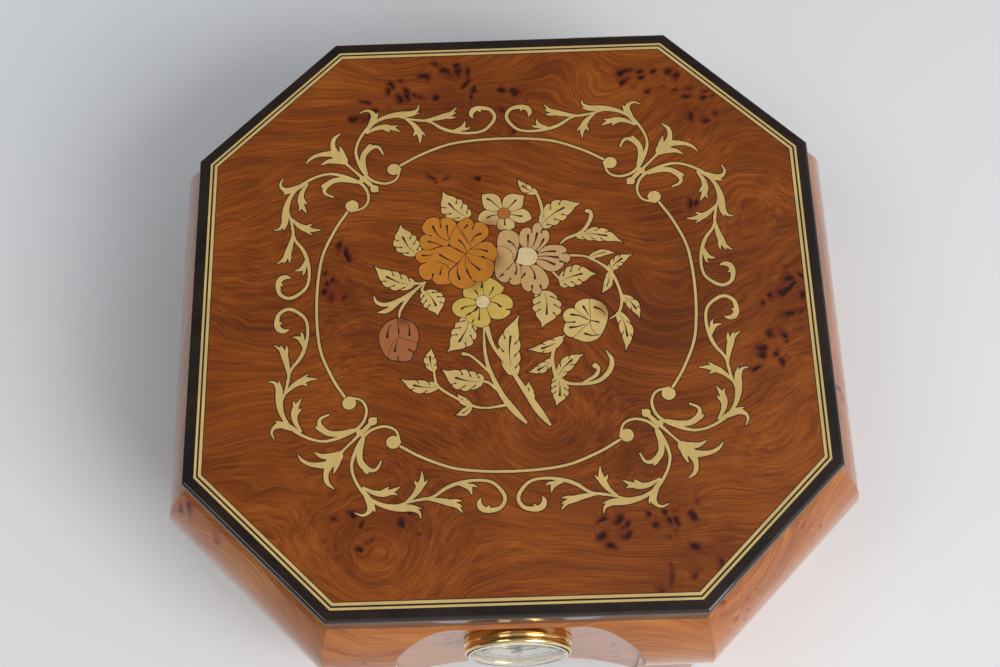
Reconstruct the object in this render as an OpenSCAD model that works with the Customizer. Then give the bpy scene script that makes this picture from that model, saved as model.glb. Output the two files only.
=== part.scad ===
// Octagonal inlaid wooden box with a front clock and a pinned-cylinder musical movement.
// Millimetres, +Z up, origin on the table under the middle of the box, front towards -Y.

/* [Box] */
// Width and depth of the lid, flat to flat
lid_w = 220; // [200:1:240]
// Leg of each 45 degree corner cut of the lid
corner_cut = 48.5; // [44:0.5:54]
// Overall height
box_h = 80; // [78:0.5:90]
// Thickness of the lid
lid_t = 7.5; // [6.5:0.5:9]
// How far the curved sides swell beyond the lid's edge
bulge = 9; // [7.5:0.5:10]
// Thickness of the side panels at the lid
wall_t = 10; // [9:0.5:11]

/* [Apron] */
// Radius of the arches cut under the four long sides
arch_r = 49; // [46:0.5:52]
// Height of the arches' crown
arch_top = 23.3; // [20:0.1:23.3]
// Half the width of the flat arched seat behind the clock
seat_w = 42.5; // [41.5:0.5:44]
// Radius of the seat's two round shoulders
seat_r = 21.7; // [19:0.1:21.7]
// Height of the centres of the shoulders
seat_z = 49.2; // [46:0.1:49.2]

/* [Clock] */
// Radius of the hole that the insert clock pushes into
clock_hole_r = 17.5; // [16.5:0.1:17.5]
// Height of the clock's centre
clock_z = 51.4; // [50:0.1:52]

/* [Movement] */
// Radius of the pinned cylinder
cylinder_r = 10; // [8:0.5:10]
// Teeth of the comb
comb_teeth = 50; // [30:1:50]
// Pins that show round the cylinder for each comb tooth
pins_per_tooth = 2; // [1:1:4]

/* [Hidden] */
$fn = 48;

half_w = lid_w / 2;
half_side = half_w - corner_cut;
corner_apothem = (half_w + half_side) / sqrt(2);
corner_half = corner_cut / sqrt(2);
mitre = tan(22.5);
gap = 0.3;
pad_t = 0.8;
lid_z = box_h - lid_t;
case_top = lid_z - gap;

// Side profile: a convex upper swell, a hollow below it and an upright plinth
plinth_out = 1;
plinth_h = 16;
waist_z = 36;
swell_z = 50;
rise = case_top - swell_z;
swell_r = (rise * rise + bulge * bulge) / (2 * bulge);
swell_c = bulge - swell_r;
waist_out = swell_c + sqrt(swell_r * swell_r - (swell_z - waist_z) * (swell_z - waist_z));
hollow_h = waist_z - plinth_h;
hollow_run = waist_out - plinth_out;
hollow_r = (hollow_h * hollow_h + hollow_run * hollow_run) / (2 * hollow_run);
hollow_steps = 12;
swell_steps = 24;

// Depth of the clock's seat behind the lid's edge
seat_in = 0.1;

// Inside of the box
floor_z = 28;
board_t = 4;
lining_t = 3;
inner = wall_t;
partition_y = 14;
partition_t = 4;
partition_top = 68;
divider_x = 28;
divider_t = 3;
divider_top = 60;
cover_z = 64;
cover_t = 2;

// Lid bands, from the edge inwards
edging_w = 4.2;
string_w = 0.8;
// the inner string is the wider one
inner_string_w = 1.0;
line_w = 0.65;
round_r = 1.3;
veneer_t = 0.8;
inlay_t = 0.05;
veneer_top = box_h - inlay_t;
bands = edging_w + string_w + line_w + inner_string_w;

// Hinges
hinge_x = 40;
hinge_w = 26;
hinge_mid = 8.4;
leaf_t = 1.2;
leaf_in = 9;
knuckle_r = 2.2;
hinge_pin_r = 0.8;
hinge_y = half_w + knuckle_r;
hinge_z = lid_z - gap / 2;

// Movement layout, all heights above the table
axis_y = 58;
axis_z = 50;
cylinder_x0 = -18;
cylinder_x1 = 47;
pin_h = 0.7;
arbor_r = 1.5;
fit = 0.05;
barrel_x = -46;
barrel_mesh_r = 19;
contrate_n = 72;
pinion_n = 12;
great_n = 44;
great_r = 11;
fly_pinion_n = 11;
fly_pinion_r = 2.75;
worm_wheel_n = 24;
worm_wheel_r = 6;
governor_y = axis_y + great_r + fly_pinion_r;
worm_x = 57;
worm_tip_r = 1.7;
worm_y = governor_y + worm_wheel_r + worm_tip_r + 0.5;
bed_z = floor_z + 3;
click_x = barrel_x + 5;
click_y = axis_y + 12;
click_pin_r = 0.8;
plunger_x = 72;
plunger_y = 70;
plunger_r = 1.5;
comb_pitch = (cylinder_x1 - cylinder_x0 - 1) / comb_teeth;
comb_tip_y = axis_y - cylinder_r - pin_h - 0.2;
comb_heel_y = 34;
comb_front_y = 24;

wood = "#8a4a24";
burl = "#a5622f";
cream = "#d8bd84";
ebony = "#20150f";
gilt = "#c9a24a";
steel = "#b8bcc2";
velvet = "#6b1422";

// ---------- plan and profile helpers ----------

// Eight-sided plan of the box, set in from the lid's edge
module octagon(inset) {
    a = half_w - inset;
    h = half_side - inset * mitre;
    polygon([[h, -a], [a, -h], [a, h], [h, a], [-h, a], [-a, h], [-a, -h], [-h, -a]]);
}

module octagon_band(outer_in, inner_in, z0, z1) {
    translate([0, 0, z0]) linear_extrude(height = z1 - z0) difference() {
        octagon(outer_in);
        octagon(inner_in);
    }
}

// Wedge of plan between the two mitre planes of a side
module mitre_wedge(apothem, half) {
    reach = 14;
    translate([0, 0, -1]) linear_extrude(height = box_h + 2) polygon([
        [-half - reach * mitre, -apothem - reach], [half + reach * mitre, -apothem - reach],
        [half - reach * mitre, -apothem + reach], [-half + reach * mitre, -apothem + reach]]);
}

// Sweeps a profile (x outwards from the lid's edge, y up) along one side, mitred at both ends
module mitred_side(apothem, half) {
    intersection() {
        translate([0, -apothem, 0]) rotate([90, 0, -90])
            linear_extrude(height = 2 * half + 30, center = true) children();
        mitre_wedge(apothem, half);
    }
}

// How far the side stands out beyond the lid's edge at a height
function swell_at(z) = swell_c + sqrt(swell_r * swell_r - (z - swell_z) * (z - swell_z));
function hollow_at(z) = plinth_out + hollow_r - sqrt(hollow_r * hollow_r - (z - plinth_h) * (z - plinth_h));

module side_profile() {
    polygon(concat(
        [[-wall_t, case_top], [-wall_t, pad_t], [plinth_out, pad_t]],
        [for (i = [0:hollow_steps]) let (z = plinth_h + i * hollow_h / hollow_steps) [hollow_at(z), z]],
        [for (i = [1:swell_steps]) let (z = waist_z + i * (case_top - waist_z) / swell_steps) [swell_at(z), z]]));
}

module long_side() {
    difference() {
        mitred_side(half_w, half_side) side_profile();
        translate([0, -half_w - 20, arch_top - arch_r]) rotate([-90, 0, 0])
            cylinder(r = arch_r, h = 40, $fn = 96);
    }
}

module corner_side(angle) {
    color(wood) rotate([0, 0, angle]) mitred_side(corner_apothem, corner_half) side_profile();
}

// Cylinder lying along +X
module rod_x(r, x0, x1, y, z) {
    translate([x0, y, z]) rotate([0, 90, 0]) cylinder(r = r, h = x1 - x0);
}

// Block from its lowest to its highest corner
module block(low, high) {
    translate(low) cube(high - low);
}

// Outline of a wheel with straight-flanked teeth; one tooth is centred on angle 0
function wheel_points(n, root, tip, root_w, tip_w) = [for (i = [0:n - 1]) for (c = [
    [root, -root_w / 2], [tip, -tip_w / 2], [tip, tip_w / 2], [root, root_w / 2]])
    let (a = i * 360 / n + c[1] / c[0] * 180 / PI) [c[0] * cos(a), c[0] * sin(a)]];

module toothed(n, root, tip, root_w, tip_w, width) {
    linear_extrude(height = width) polygon(wheel_points(n, root, tip, root_w, tip_w));
}

// Wheel whose axis lies along +X, in the plane of the cylinder's train
module wheel_x(n, root, tip, root_w, tip_w, x0, width, y) {
    translate([x0, y, axis_z]) rotate([90, 0, 90]) toothed(n, root, tip, root_w, tip_w, width);
}

// ---------- case ----------

module hinge_spots() {
    for (s = [-1, 1]) translate([s * hinge_x, 0, 0]) children();
}

// Room for the knuckles and leaves in the wood of case and lid
module hinge_room() {
    hinge_spots() {
        rod_x(knuckle_r + gap, -hinge_w / 2 - gap, hinge_w / 2 + gap, hinge_y, hinge_z);
        block([-hinge_w / 2, half_w - leaf_in, hinge_z - leaf_t - gap / 2],
            [hinge_w / 2, half_w + 20, hinge_z + leaf_t + gap / 2]);
    }
}

module hinge_screw_spots() {
    hinge_spots() for (x = [-8.5, 8.5]) translate([x, half_w - 5.5, 0]) children();
}

// Outline of the flat seat: straight sides and a flat top, joined by round shoulders
module seat_outline() {
    for (x = [-1, 1]) translate([x * (seat_w - seat_r), seat_z]) circle(r = seat_r, $fn = 96);
    translate([seat_r - seat_w, -1]) square([2 * (seat_w - seat_r), seat_z + seat_r + 1]);
    translate([-seat_w, -1]) square([2 * seat_w, seat_z + 1]);
}

module front_panel() {
    color(wood) difference() {
        long_side();
        translate([0, seat_in - half_w, 0]) rotate([90, 0, 0]) linear_extrude(height = 20) seat_outline();
        translate([0, -half_w - 20, clock_z]) rotate([-90, 0, 0])
            cylinder(r = clock_hole_r, h = 40, $fn = 96);
    }
}

module back_panel() {
    color(wood) difference() {
        rotate([0, 0, 180]) long_side();
        hinge_room();
        hinge_screw_spots() translate([0, 0, case_top - 9]) cylinder(r = 1, h = 10);
    }
}

module left_panel() {
    color(wood) rotate([0, 0, -90]) long_side();
}

module right_panel() {
    color(wood) rotate([0, 0, 90]) long_side();
}

module bottom_board() {
    color("#a07850") difference() {
        translate([0, 0, floor_z - board_t]) linear_extrude(height = board_t) octagon(inner);
        translate([barrel_x, axis_y, floor_z - board_t - 1]) cylinder(r = 4, h = board_t + 2);
    }
}

// Felt pads under the eight mitres
module foot_pads() {
    mid = wall_t / 2;
    color("#3a3a38") for (s = [-1, 1], t = [-1, 1]) {
        translate([s * (half_side - mid * mitre), t * (half_w - mid), 0]) cylinder(r = 4, h = pad_t);
        translate([s * (half_w - mid), t * (half_side - mid * mitre), 0]) cylinder(r = 4, h = pad_t);
    }
}

module partition() {
    color("#8c5a33") intersection() {
        translate([0, 0, floor_z]) linear_extrude(height = partition_top - floor_z) octagon(inner);
        block([-half_w, partition_y, 0], [half_w, partition_y + partition_t, box_h]);
    }
}

module divider() {
    color("#8c5a33") block([divider_x, -half_w + inner, floor_z],
        [divider_x + divider_t, partition_y, divider_top]);
}

module cover_cleats() {
    back_y = half_w - inner;
    front_y = partition_y + partition_t;
    color("#8c5a33") {
        block([-48, back_y - 4, cover_z - 4], [48, back_y, cover_z]);
        block([-70, front_y, cover_z - 4], [70, front_y + 3, cover_z]);
    }
}

module glass_cover() {
    color([0.8, 0.9, 0.95, 0.35]) difference() {
        intersection() {
            translate([0, 0, cover_z]) linear_extrude(height = cover_t) octagon(inner + 0.4);
            block([-half_w, partition_y + partition_t + 0.2, 0], [half_w, half_w, box_h]);
        }
        translate([plunger_x, plunger_y, cover_z - 1]) cylinder(r = 2.2, h = cover_t + 2);
    }
}

// Velvet pads on the compartment floors
module floor_pads() {
    color(velvet) translate([0, 0, floor_z]) linear_extrude(height = 3) intersection() {
        octagon(inner + 0.3);
        union() {
            translate([-half_w, -half_w]) square([half_w + divider_x - 0.2, half_w + partition_y - 0.2]);
            translate([divider_x + divider_t + 0.2, -half_w])
                square([half_w, half_w + partition_y - 0.2]);
        }
    }
}

module ring_roll() {
    roll_r = 6.5;
    color(velvet) for (i = [0:3]) intersection() {
        rod_x(roll_r, divider_x + divider_t + 2, 95, partition_y - 8 - i * 14, floor_z + 4);
        block([0, -half_w, floor_z + 3], [half_w, half_w, box_h]);
    }
}

// ---------- hinges ----------

module hinge_screws(up) {
    head_z = up > 0 ? lid_z + 0.1 : case_top - 0.1;
    color(gilt) hinge_screw_spots() translate([0, 0, head_z]) scale([1, 1, up]) difference() {
        union() {
            cylinder(r = 2.2, h = 0.9);
            cylinder(r = 1, h = 6);
        }
        translate([-3, -0.25, -0.1]) cube([6, 0.5, 0.5]);
    }
}

module leaf_holes(z) {
    hinge_screw_spots() translate([0, 0, z - 2]) cylinder(r = 2.25, h = 4);
}

module hinge_leaves_case() {
    color(gilt) difference() {
        hinge_spots() difference() {
            union() {
                block([-hinge_w / 2, half_w - leaf_in, case_top - leaf_t], [hinge_w / 2, hinge_y, case_top]);
                rod_x(knuckle_r, -hinge_w / 2, hinge_w / 2, hinge_y, hinge_z);
            }
            rod_x(knuckle_r + gap, -hinge_mid / 2 - gap, hinge_mid / 2 + gap, hinge_y, hinge_z);
            rod_x(hinge_pin_r, -hinge_w, hinge_w, hinge_y, hinge_z);
        }
        leaf_holes(case_top);
    }
}

module hinge_leaves_lid() {
    color(gilt) difference() {
        hinge_spots() difference() {
            union() {
                block([-hinge_w / 2, half_w - leaf_in, lid_z], [hinge_w / 2, hinge_y, lid_z + leaf_t]);
                rod_x(knuckle_r, -hinge_mid / 2, hinge_mid / 2, hinge_y, hinge_z);
            }
            for (s = [-1, 1]) rod_x(knuckle_r + gap, s > 0 ? hinge_mid / 2 : -hinge_w,
                s > 0 ? hinge_w : -hinge_mid / 2, hinge_y, hinge_z);
            rod_x(hinge_pin_r + fit, -hinge_w, hinge_w, hinge_y, hinge_z);
        }
        leaf_holes(lid_z);
    }
}

module hinge_pins() {
    color(gilt) hinge_spots() rod_x(hinge_pin_r, -hinge_w / 2, hinge_w / 2, hinge_y, hinge_z);
}

module hinge_screws_case() {
    hinge_screws(-1);
}

module hinge_screws_lid() {
    hinge_screws(1);
}

// ---------- lid ----------

module lid_board() {
    color("#7a4423") difference() {
        translate([0, 0, lid_z]) linear_extrude(height = lid_t - inlay_t - veneer_t) octagon(edging_w);
        hinge_room();
        hinge_screw_spots() translate([0, 0, lid_z]) cylinder(r = 1, h = 6.3);
    }
}

module edging_profile() {
    difference() {
        translate([-edging_w, lid_z]) square([edging_w, lid_t]);
        translate([-round_r, box_h - round_r]) square([2 * round_r, 2 * round_r]);
    }
    intersection() {
        translate([-round_r, box_h - round_r]) circle(r = round_r);
        translate([-round_r, box_h - round_r]) square([2 * round_r, 2 * round_r]);
    }
}

module lid_edging() {
    color(ebony) difference() {
        for (i = [0:3]) {
            rotate([0, 0, 90 * i]) mitred_side(half_w, half_side) edging_profile();
            rotate([0, 0, 90 * i + 45]) mitred_side(corner_apothem, corner_half) edging_profile();
        }
        hinge_room();
    }
}

module lid_string_outer() {
    color(cream) octagon_band(edging_w, edging_w + string_w, box_h - veneer_t, box_h);
}

module lid_black_line() {
    color(ebony) octagon_band(edging_w + string_w, edging_w + string_w + line_w, box_h - veneer_t, box_h);
}

module lid_string_inner() {
    color(cream) octagon_band(edging_w + string_w + line_w, bands, box_h - veneer_t, box_h);
}

module lid_veneer() {
    color(burl) translate([0, 0, veneer_top - veneer_t]) linear_extrude(height = veneer_t) octagon(bands);
}

// Four arcs of thin pale line, with a bead at each end
module inlay_ring() {
    ring_r = 41;
    sweep = 62;
    color(cream) translate([0, 0, veneer_top]) for (i = [0:3]) rotate([0, 0, 90 * i + 45 - sweep / 2 + 45]) {
        rotate_extrude(angle = sweep) translate([ring_r, 0]) square([1.2, inlay_t]);
        for (a = [-3, sweep + 3]) rotate([0, 0, a]) translate([ring_r + 1, 0, 0])
            cylinder(r = 1.6, h = inlay_t);
    }
}

// Plain flower heads of the bouquet
module inlay_bouquet() {
    heads = [[-10, 14, 9], [8, 13, 8], [1, 24, 5], [-3, 2, 7], [-23, -6, 5], [20, -2, 5]];
    color("#d89a52") translate([0, 0, veneer_top]) for (h = heads)
        translate([h[0], h[1], 0]) cylinder(r = h[2], h = inlay_t);
}

module lid_lining() {
    color(velvet) translate([0, 0, lid_z - lining_t]) linear_extrude(height = lining_t)
        octagon(inner + 6);
}

// ---------- clock, drawn about its own axis with its front towards +Z ----------

module clock_place() {
    translate([0, -half_w, clock_z]) rotate([90, 0, 0]) children();
}

module clock_case() {
    can_r = clock_hole_r - fit;
    color(gilt) clock_place() difference() {
        union() {
            translate([0, 0, -13]) cylinder(r = can_r, h = 13.2, $fn = 96);
            translate([0, 0, 0.15]) cylinder(r = clock_hole_r + 0.5, h = 1.85, $fn = 96);
        }
        translate([0, 0, -11.8]) cylinder(r = can_r - 1.4, h = 20);
        translate([0, 0, -7]) rotate_extrude() translate([can_r - 0.6, 0]) square([2, 3]);
        translate([8, 0, -14]) cylinder(r = 1.3, h = 4);
    }
}

module clock_grip_ring() {
    can_r = clock_hole_r - fit;
    color("#e8e4da") clock_place() translate([0, 0, -7]) difference() {
        cylinder(r = can_r, h = 3, $fn = 96);
        translate([0, 0, -1]) cylinder(r = can_r - 0.6, h = 5);
    }
}

module clock_movement() {
    color("#2c2c2e") clock_place() difference() {
        translate([0, 0, -11.8]) cylinder(r = clock_hole_r - 2.4, h = 12.4);
        translate([0, 0, -4]) cylinder(r = 0.65, h = 6);
        translate([8, 0, -13]) cylinder(r = 1.3, h = 6);
    }
}

module clock_dial() {
    color("#f4f1e8") clock_place() translate([0, 0, 2.1]) difference() {
        cylinder(r = clock_hole_r - 1.55, h = 0.4);
        translate([0, 0, -1]) cylinder(r = 1.4, h = 3);
    }
}

module clock_bezel() {
    in_r = clock_hole_r - 1.5;
    color(gilt) clock_place() rotate_extrude($fn = 96) union() {
        translate([in_r, 2]) square([1, 0.7]);
        difference() {
            translate([in_r, 2.7]) square([2, 4.3]);
            translate([in_r + 0.5, 5.5]) square([3, 3]);
        }
        intersection() {
            translate([in_r + 0.5, 5.5]) circle(r = 1.5);
            translate([in_r + 0.5, 5.5]) square([3, 3]);
        }
    }
}

module clock_glass() {
    color([0.9, 0.95, 1, 0.3]) clock_place() translate([0, 0, 5.6])
        cylinder(r = clock_hole_r - 1.55, h = 0.8, $fn = 96);
}

// Tapering hand pointing up the dial, turned clockwise by an angle
module hand(length, width, angle, thick) {
    rotate([0, 0, -angle]) linear_extrude(height = thick) polygon([[-width / 2, -length * 0.22],
        [width / 2, -length * 0.22], [width * 0.35, length * 0.8], [0, length], [-width * 0.35, length * 0.8]]);
}

module minute_hand() {
    color("#1a1a1c") clock_place() union() {
        translate([0, 0, 3.7]) hand(12.6, 1.1, 50, 0.3);
        translate([0, 0, 3.7]) cylinder(r = 1.3, h = 0.5);
        translate([0, 0, -3]) cylinder(r = 0.6, h = 7);
    }
}

module hour_hand() {
    color("#1a1a1c") clock_place() difference() {
        union() {
            translate([0, 0, 2.9]) hand(8.8, 1.4, 304, 0.35);
            translate([0, 0, 1]) cylinder(r = 1.1, h = 2.25);
        }
        translate([0, 0, 0]) cylinder(r = 0.65, h = 5);
    }
}

module clock_set_knob() {
    color("#d8d4c8") clock_place() translate([8, 0, -15.6]) union() {
        cylinder(r = 3, h = 2);
        cylinder(r = 1.2, h = 6);
    }
}

// ---------- musical movement ----------

module bed_screw_spots() {
    for (p = [[-68, 26], [74, 26], [-58, 87], [60, 87]]) translate([p[0], p[1], 0]) children();
}

// Plate that carries the movement, with the guide post of the stop plunger
module bedplate() {
    color("#b08d3e") difference() {
        union() {
            translate([0, 0, floor_z]) linear_extrude(height = bed_z - floor_z)
                polygon([[-72, 22], [78, 22], [78, 76], [62, 92], [-62, 92], [-72, 82]]);
            block([plunger_x - 4, plunger_y - 4, floor_z], [plunger_x + 4, plunger_y + 4, 55]);
        }
        translate([plunger_x, plunger_y, 40]) cylinder(r = plunger_r + fit, h = 20);
        translate([barrel_x, axis_y, floor_z - 1]) cylinder(r = 3, h = 5);
        bed_screw_spots() translate([0, 0, floor_z - 1]) cylinder(r = 1.55, h = 5);
    }
}

module bedplate_screws() {
    color(steel) bed_screw_spots() difference() {
        union() {
            translate([0, 0, bed_z]) cylinder(r = 3, h = 1.6);
            translate([0, 0, floor_z]) cylinder(r = 1.5, h = 3.5);
        }
        translate([-4, -0.4, bed_z + 0.9]) cube([8, 0.8, 2]);
    }
}

module bearing_left() {
    color(gilt) difference() {
        union() {
            block([-24, 50, bed_z], [-22, 66, axis_z]);
            rod_x(8, -24, -22, axis_y, axis_z);
        }
        rod_x(arbor_r + fit, -30, -20, axis_y, axis_z);
    }
}

module bearing_right() {
    color(gilt) difference() {
        union() {
            block([53, 50, bed_z], [55, 66, axis_z]);
            rod_x(8, 53, 55, axis_y, axis_z);
            block([53, 66, bed_z], [55, 84, axis_z + 6]);
        }
        rod_x(arbor_r + fit, 50, 60, axis_y, axis_z);
        rod_x(0.8 + fit, 50, 60, governor_y, axis_z);
    }
}

module music_cylinder() {
    color(gilt) difference() {
        rod_x(cylinder_r, cylinder_x0, cylinder_x1, axis_y, axis_z);
        rod_x(arbor_r, cylinder_x0 - 1, cylinder_x1 + 1, axis_y, axis_z);
    }
}

// The pins follow a repeating figure that climbs round the cylinder
module cylinder_pins() {
    color(steel) for (i = [0:comb_teeth - 1], k = [0:pins_per_tooth - 1]) {
        turn = (i * 137.5 + k * (97 + 11 * (i % 5))) % 360;
        translate([cylinder_x0 + 1 + (i + 0.5) * comb_pitch, axis_y, axis_z]) rotate([turn, 0, 0])
            translate([0, 0, cylinder_r - 0.2]) cylinder(r = 0.2, h = pin_h + 0.2, $fn = 16);
    }
}

// Arbor of the cylinder, with the driving pinion cut on its end
module cylinder_arbor() {
    color(steel) union() {
        rod_x(arbor_r, -28.6, 55.8, axis_y, axis_z);
        wheel_x(pinion_n, 2.5, 3.6, 0.95, 0.34, -28, 2, axis_y);
    }
}

module great_wheel() {
    color(gilt) difference() {
        wheel_x(great_n, great_r - 0.6, great_r + 0.4, 0.8, 0.4, 48.8, 2.4, axis_y);
        rod_x(arbor_r, 48, 52, axis_y, axis_z);
    }
}

module comb_screw_spots() {
    for (i = [0:3]) translate([cylinder_x0 + 8 + i * 16.5, comb_front_y + 5, 0]) children();
}

module comb() {
    teeth_x = cylinder_x0 + 1;
    color(steel) difference() {
        block([teeth_x, comb_front_y, axis_z - 1.2], [teeth_x + comb_teeth * comb_pitch, comb_tip_y, axis_z]);
        for (i = [1:comb_teeth - 1]) block([teeth_x + i * comb_pitch - 0.15, comb_heel_y, axis_z - 2],
            [teeth_x + i * comb_pitch + 0.15, comb_tip_y + 1, axis_z + 1]);
        block([teeth_x - 1, comb_heel_y + 2, axis_z - 2], [cylinder_x1 + 1, comb_tip_y + 1, axis_z - 0.7]);
        comb_screw_spots() translate([0, 0, axis_z - 3]) cylinder(r = 1.6, h = 5);
    }
}

module comb_base() {
    color("#9a7a34") difference() {
        union() {
            block([cylinder_x0, comb_front_y, bed_z], [cylinder_x1, comb_heel_y - 1, axis_z - 1.2]);
            block([cylinder_x0, comb_front_y, bed_z], [cylinder_x1, comb_heel_y + 5, bed_z + 3]);
        }
        comb_screw_spots() translate([0, 0, axis_z - 8]) cylinder(r = 1.5, h = 10);
    }
}

module comb_screws() {
    color(steel) comb_screw_spots() difference() {
        union() {
            translate([0, 0, axis_z]) cylinder(r = 2.8, h = 1.6);
            translate([0, 0, axis_z - 7]) cylinder(r = 1.5, h = 7.5);
        }
        translate([-4, -0.35, axis_z + 0.9]) cube([8, 0.7, 2]);
    }
}

// Barrel with its ring of upright teeth that drives the pinion
module spring_barrel() {
    ring_in = barrel_mesh_r - 1.1;
    ring_out = barrel_mesh_r + 1.1;
    teeth_z = 45.9;
    teeth_top = 47.15;
    color(gilt) translate([barrel_x, axis_y, 0]) difference() {
        union() {
            translate([0, 0, bed_z + 0.6]) cylinder(r = ring_out, h = teeth_z - bed_z - 0.6, $fn = 96);
            for (i = [0:contrate_n - 1]) rotate([0, 0, (i + 0.5) * 360 / contrate_n])
                block([ring_in, -0.3, teeth_z - 0.5], [ring_out - 0.05, 0.3, teeth_top]);
        }
        translate([0, 0, teeth_z - 1.4]) cylinder(r = ring_in - 0.6, h = 4, $fn = 96);
        translate([0, 0, bed_z]) cylinder(r = 2.5 + fit, h = 30);
    }
}

module barrel_bridge() {
    color(gilt) difference() {
        union() {
            block([barrel_x - 8, axis_y - 27, 48.9], [barrel_x + 8, axis_y + 27, 51]);
            for (s = [-1, 1]) translate([barrel_x, axis_y + s * 24.4, bed_z])
                cylinder(r = 2.8, h = 49 - bed_z);
        }
        translate([barrel_x, axis_y, 45]) cylinder(r = 2.5 + fit, h = 10);
    }
    color(steel) translate([click_x, click_y, 50.5]) cylinder(r = click_pin_r, h = 3.2);
}

module winding_arbor() {
    color(steel) translate([barrel_x, axis_y, 12]) cylinder(r = 2.5, h = 42.2);
}

module ratchet_wheel() {
    color(steel) translate([barrel_x, axis_y, 51.3]) difference() {
        toothed(24, 5.2, 6, 1.1, 0.2, 1.5);
        translate([0, 0, -1]) cylinder(r = 2.5, h = 4);
    }
}

module winding_key() {
    color(gilt) translate([barrel_x, axis_y, 0]) difference() {
        union() {
            translate([0, 0, 12]) cylinder(r = 3.6, h = 10.5);
            for (s = [-1, 1]) translate([s * 6.5, 1.1, 9.5]) rotate([90, 0, 0]) cylinder(r = 6.8, h = 2.2);
        }
        translate([0, 0, 12]) cylinder(r = 2.5, h = 11);
    }
}

module click() {
    color(steel) translate([0, 0, 51.3]) difference() {
        union() {
            translate([click_x, click_y]) cylinder(r = 1.8, h = 1.5);
            linear_extrude(height = 1.5) polygon([[click_x - 1.5, click_y + 0.1], [click_x + 0.3, click_y - 1.5],
                [barrel_x + 1.2, axis_y + 6.15], [barrel_x + 0.2, axis_y + 6.4]]);
        }
        translate([click_x, click_y, -1]) cylinder(r = click_pin_r + fit, h = 4);
    }
}

// Bracket that carries the upright fly arbor
module governor_frame() {
    arm_y = governor_y + 4.8;
    color(gilt) difference() {
        union() {
            block([55, arm_y, 42], [61, 84, 44]);
            block([55, arm_y, 55], [61, 84, 56.6]);
            block([55, 82.6, 42], [61, 84, 56.6]);
        }
        translate([worm_x, worm_y, 42.8]) cylinder(r = 0.55, h = 20);
    }
}

module governor_wheel() {
    color(steel) union() {
        rod_x(0.8, 47.6, 58.6, governor_y, axis_z);
        wheel_x(fly_pinion_n, fly_pinion_r - 0.55, fly_pinion_r + 0.35, 0.85, 0.35, 48.8, 2.4, governor_y);
        wheel_x(worm_wheel_n, worm_wheel_r - 0.6, worm_wheel_r + 0.35, 0.8, 0.4, worm_x - 0.6, 1.2, governor_y);
    }
}

// Upright arbor with a four-start worm and two air vanes
module governor_fly() {
    lead = 2 * PI * worm_wheel_r * 4 / worm_wheel_n;
    worm_h = 8;
    color(steel) translate([worm_x, worm_y, 0]) union() {
        translate([0, 0, 43]) cylinder(r = 0.5, h = 19.5);
        translate([0, 0, axis_z - worm_h / 2]) linear_extrude(height = worm_h, twist = -360 * worm_h / lead,
            slices = 16) polygon(wheel_points(4, 1.05, worm_tip_r, 0.7, 0.5));
        translate([0, 0, 57.2]) cylinder(r = 1.2, h = 5.3);
        for (s = [-1, 1]) rotate([0, 0, 90 + 90 * s]) block([0.6, -0.2, 57.4], [9, 0.2, 62.3]);
    }
}

// Rod that the closing lid presses down, with its arm beside the vanes
module stop_plunger() {
    color(steel) union() {
        translate([plunger_x, plunger_y, 44]) cylinder(r = plunger_r, h = lid_z - lining_t - gap - 44);
        block([worm_x + 9.4, plunger_y - 0.6, 57.6], [plunger_x, plunger_y + 0.6, 59]);
    }
}

front_panel();
back_panel();
left_panel();
right_panel();
corner_side(-45);  // corner_front_left
corner_side(45);  // corner_front_right
corner_side(-135);  // corner_back_left
corner_side(135);  // corner_back_right
bottom_board();
foot_pads();
partition();
divider();
cover_cleats();
glass_cover();
floor_pads();
ring_roll();
hinge_leaves_case();
hinge_pins();
hinge_screws_case();
hinge_leaves_lid();
hinge_screws_lid();
lid_board();
lid_edging();
lid_string_outer();
lid_black_line();
lid_string_inner();
lid_veneer();
inlay_ring();
inlay_bouquet();
lid_lining();
clock_case();
clock_grip_ring();
clock_movement();
clock_dial();
clock_bezel();
clock_glass();
minute_hand();
hour_hand();
clock_set_knob();
bedplate();
bedplate_screws();
bearing_left();
bearing_right();
music_cylinder();
cylinder_pins();
cylinder_arbor();
great_wheel();
comb();
comb_base();
comb_screws();
spring_barrel();
barrel_bridge();
winding_arbor();
ratchet_wheel();
winding_key();
click();
governor_frame();
governor_wheel();
governor_fly();
stop_plunger();
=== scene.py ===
"""The looks of an inlaid octagonal music box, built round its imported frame."""

import math

import bpy
import numpy as np
from mathutils import Matrix, Vector
from mathutils.geometry import delaunay_2d_cdt


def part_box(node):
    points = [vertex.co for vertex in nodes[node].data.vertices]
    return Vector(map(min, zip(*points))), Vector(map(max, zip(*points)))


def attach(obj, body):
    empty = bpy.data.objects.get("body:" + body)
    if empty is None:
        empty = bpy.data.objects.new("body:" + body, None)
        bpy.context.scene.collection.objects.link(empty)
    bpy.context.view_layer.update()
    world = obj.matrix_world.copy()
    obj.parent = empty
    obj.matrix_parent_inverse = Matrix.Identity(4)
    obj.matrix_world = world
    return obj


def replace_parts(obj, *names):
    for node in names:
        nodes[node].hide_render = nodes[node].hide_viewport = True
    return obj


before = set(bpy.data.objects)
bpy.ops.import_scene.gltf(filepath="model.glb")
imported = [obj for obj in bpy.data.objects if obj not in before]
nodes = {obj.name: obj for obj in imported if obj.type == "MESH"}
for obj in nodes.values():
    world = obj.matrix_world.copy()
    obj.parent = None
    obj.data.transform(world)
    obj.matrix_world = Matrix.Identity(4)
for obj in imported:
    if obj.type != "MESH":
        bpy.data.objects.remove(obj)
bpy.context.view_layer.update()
scene = bpy.context.scene
MM = 0.001

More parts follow.
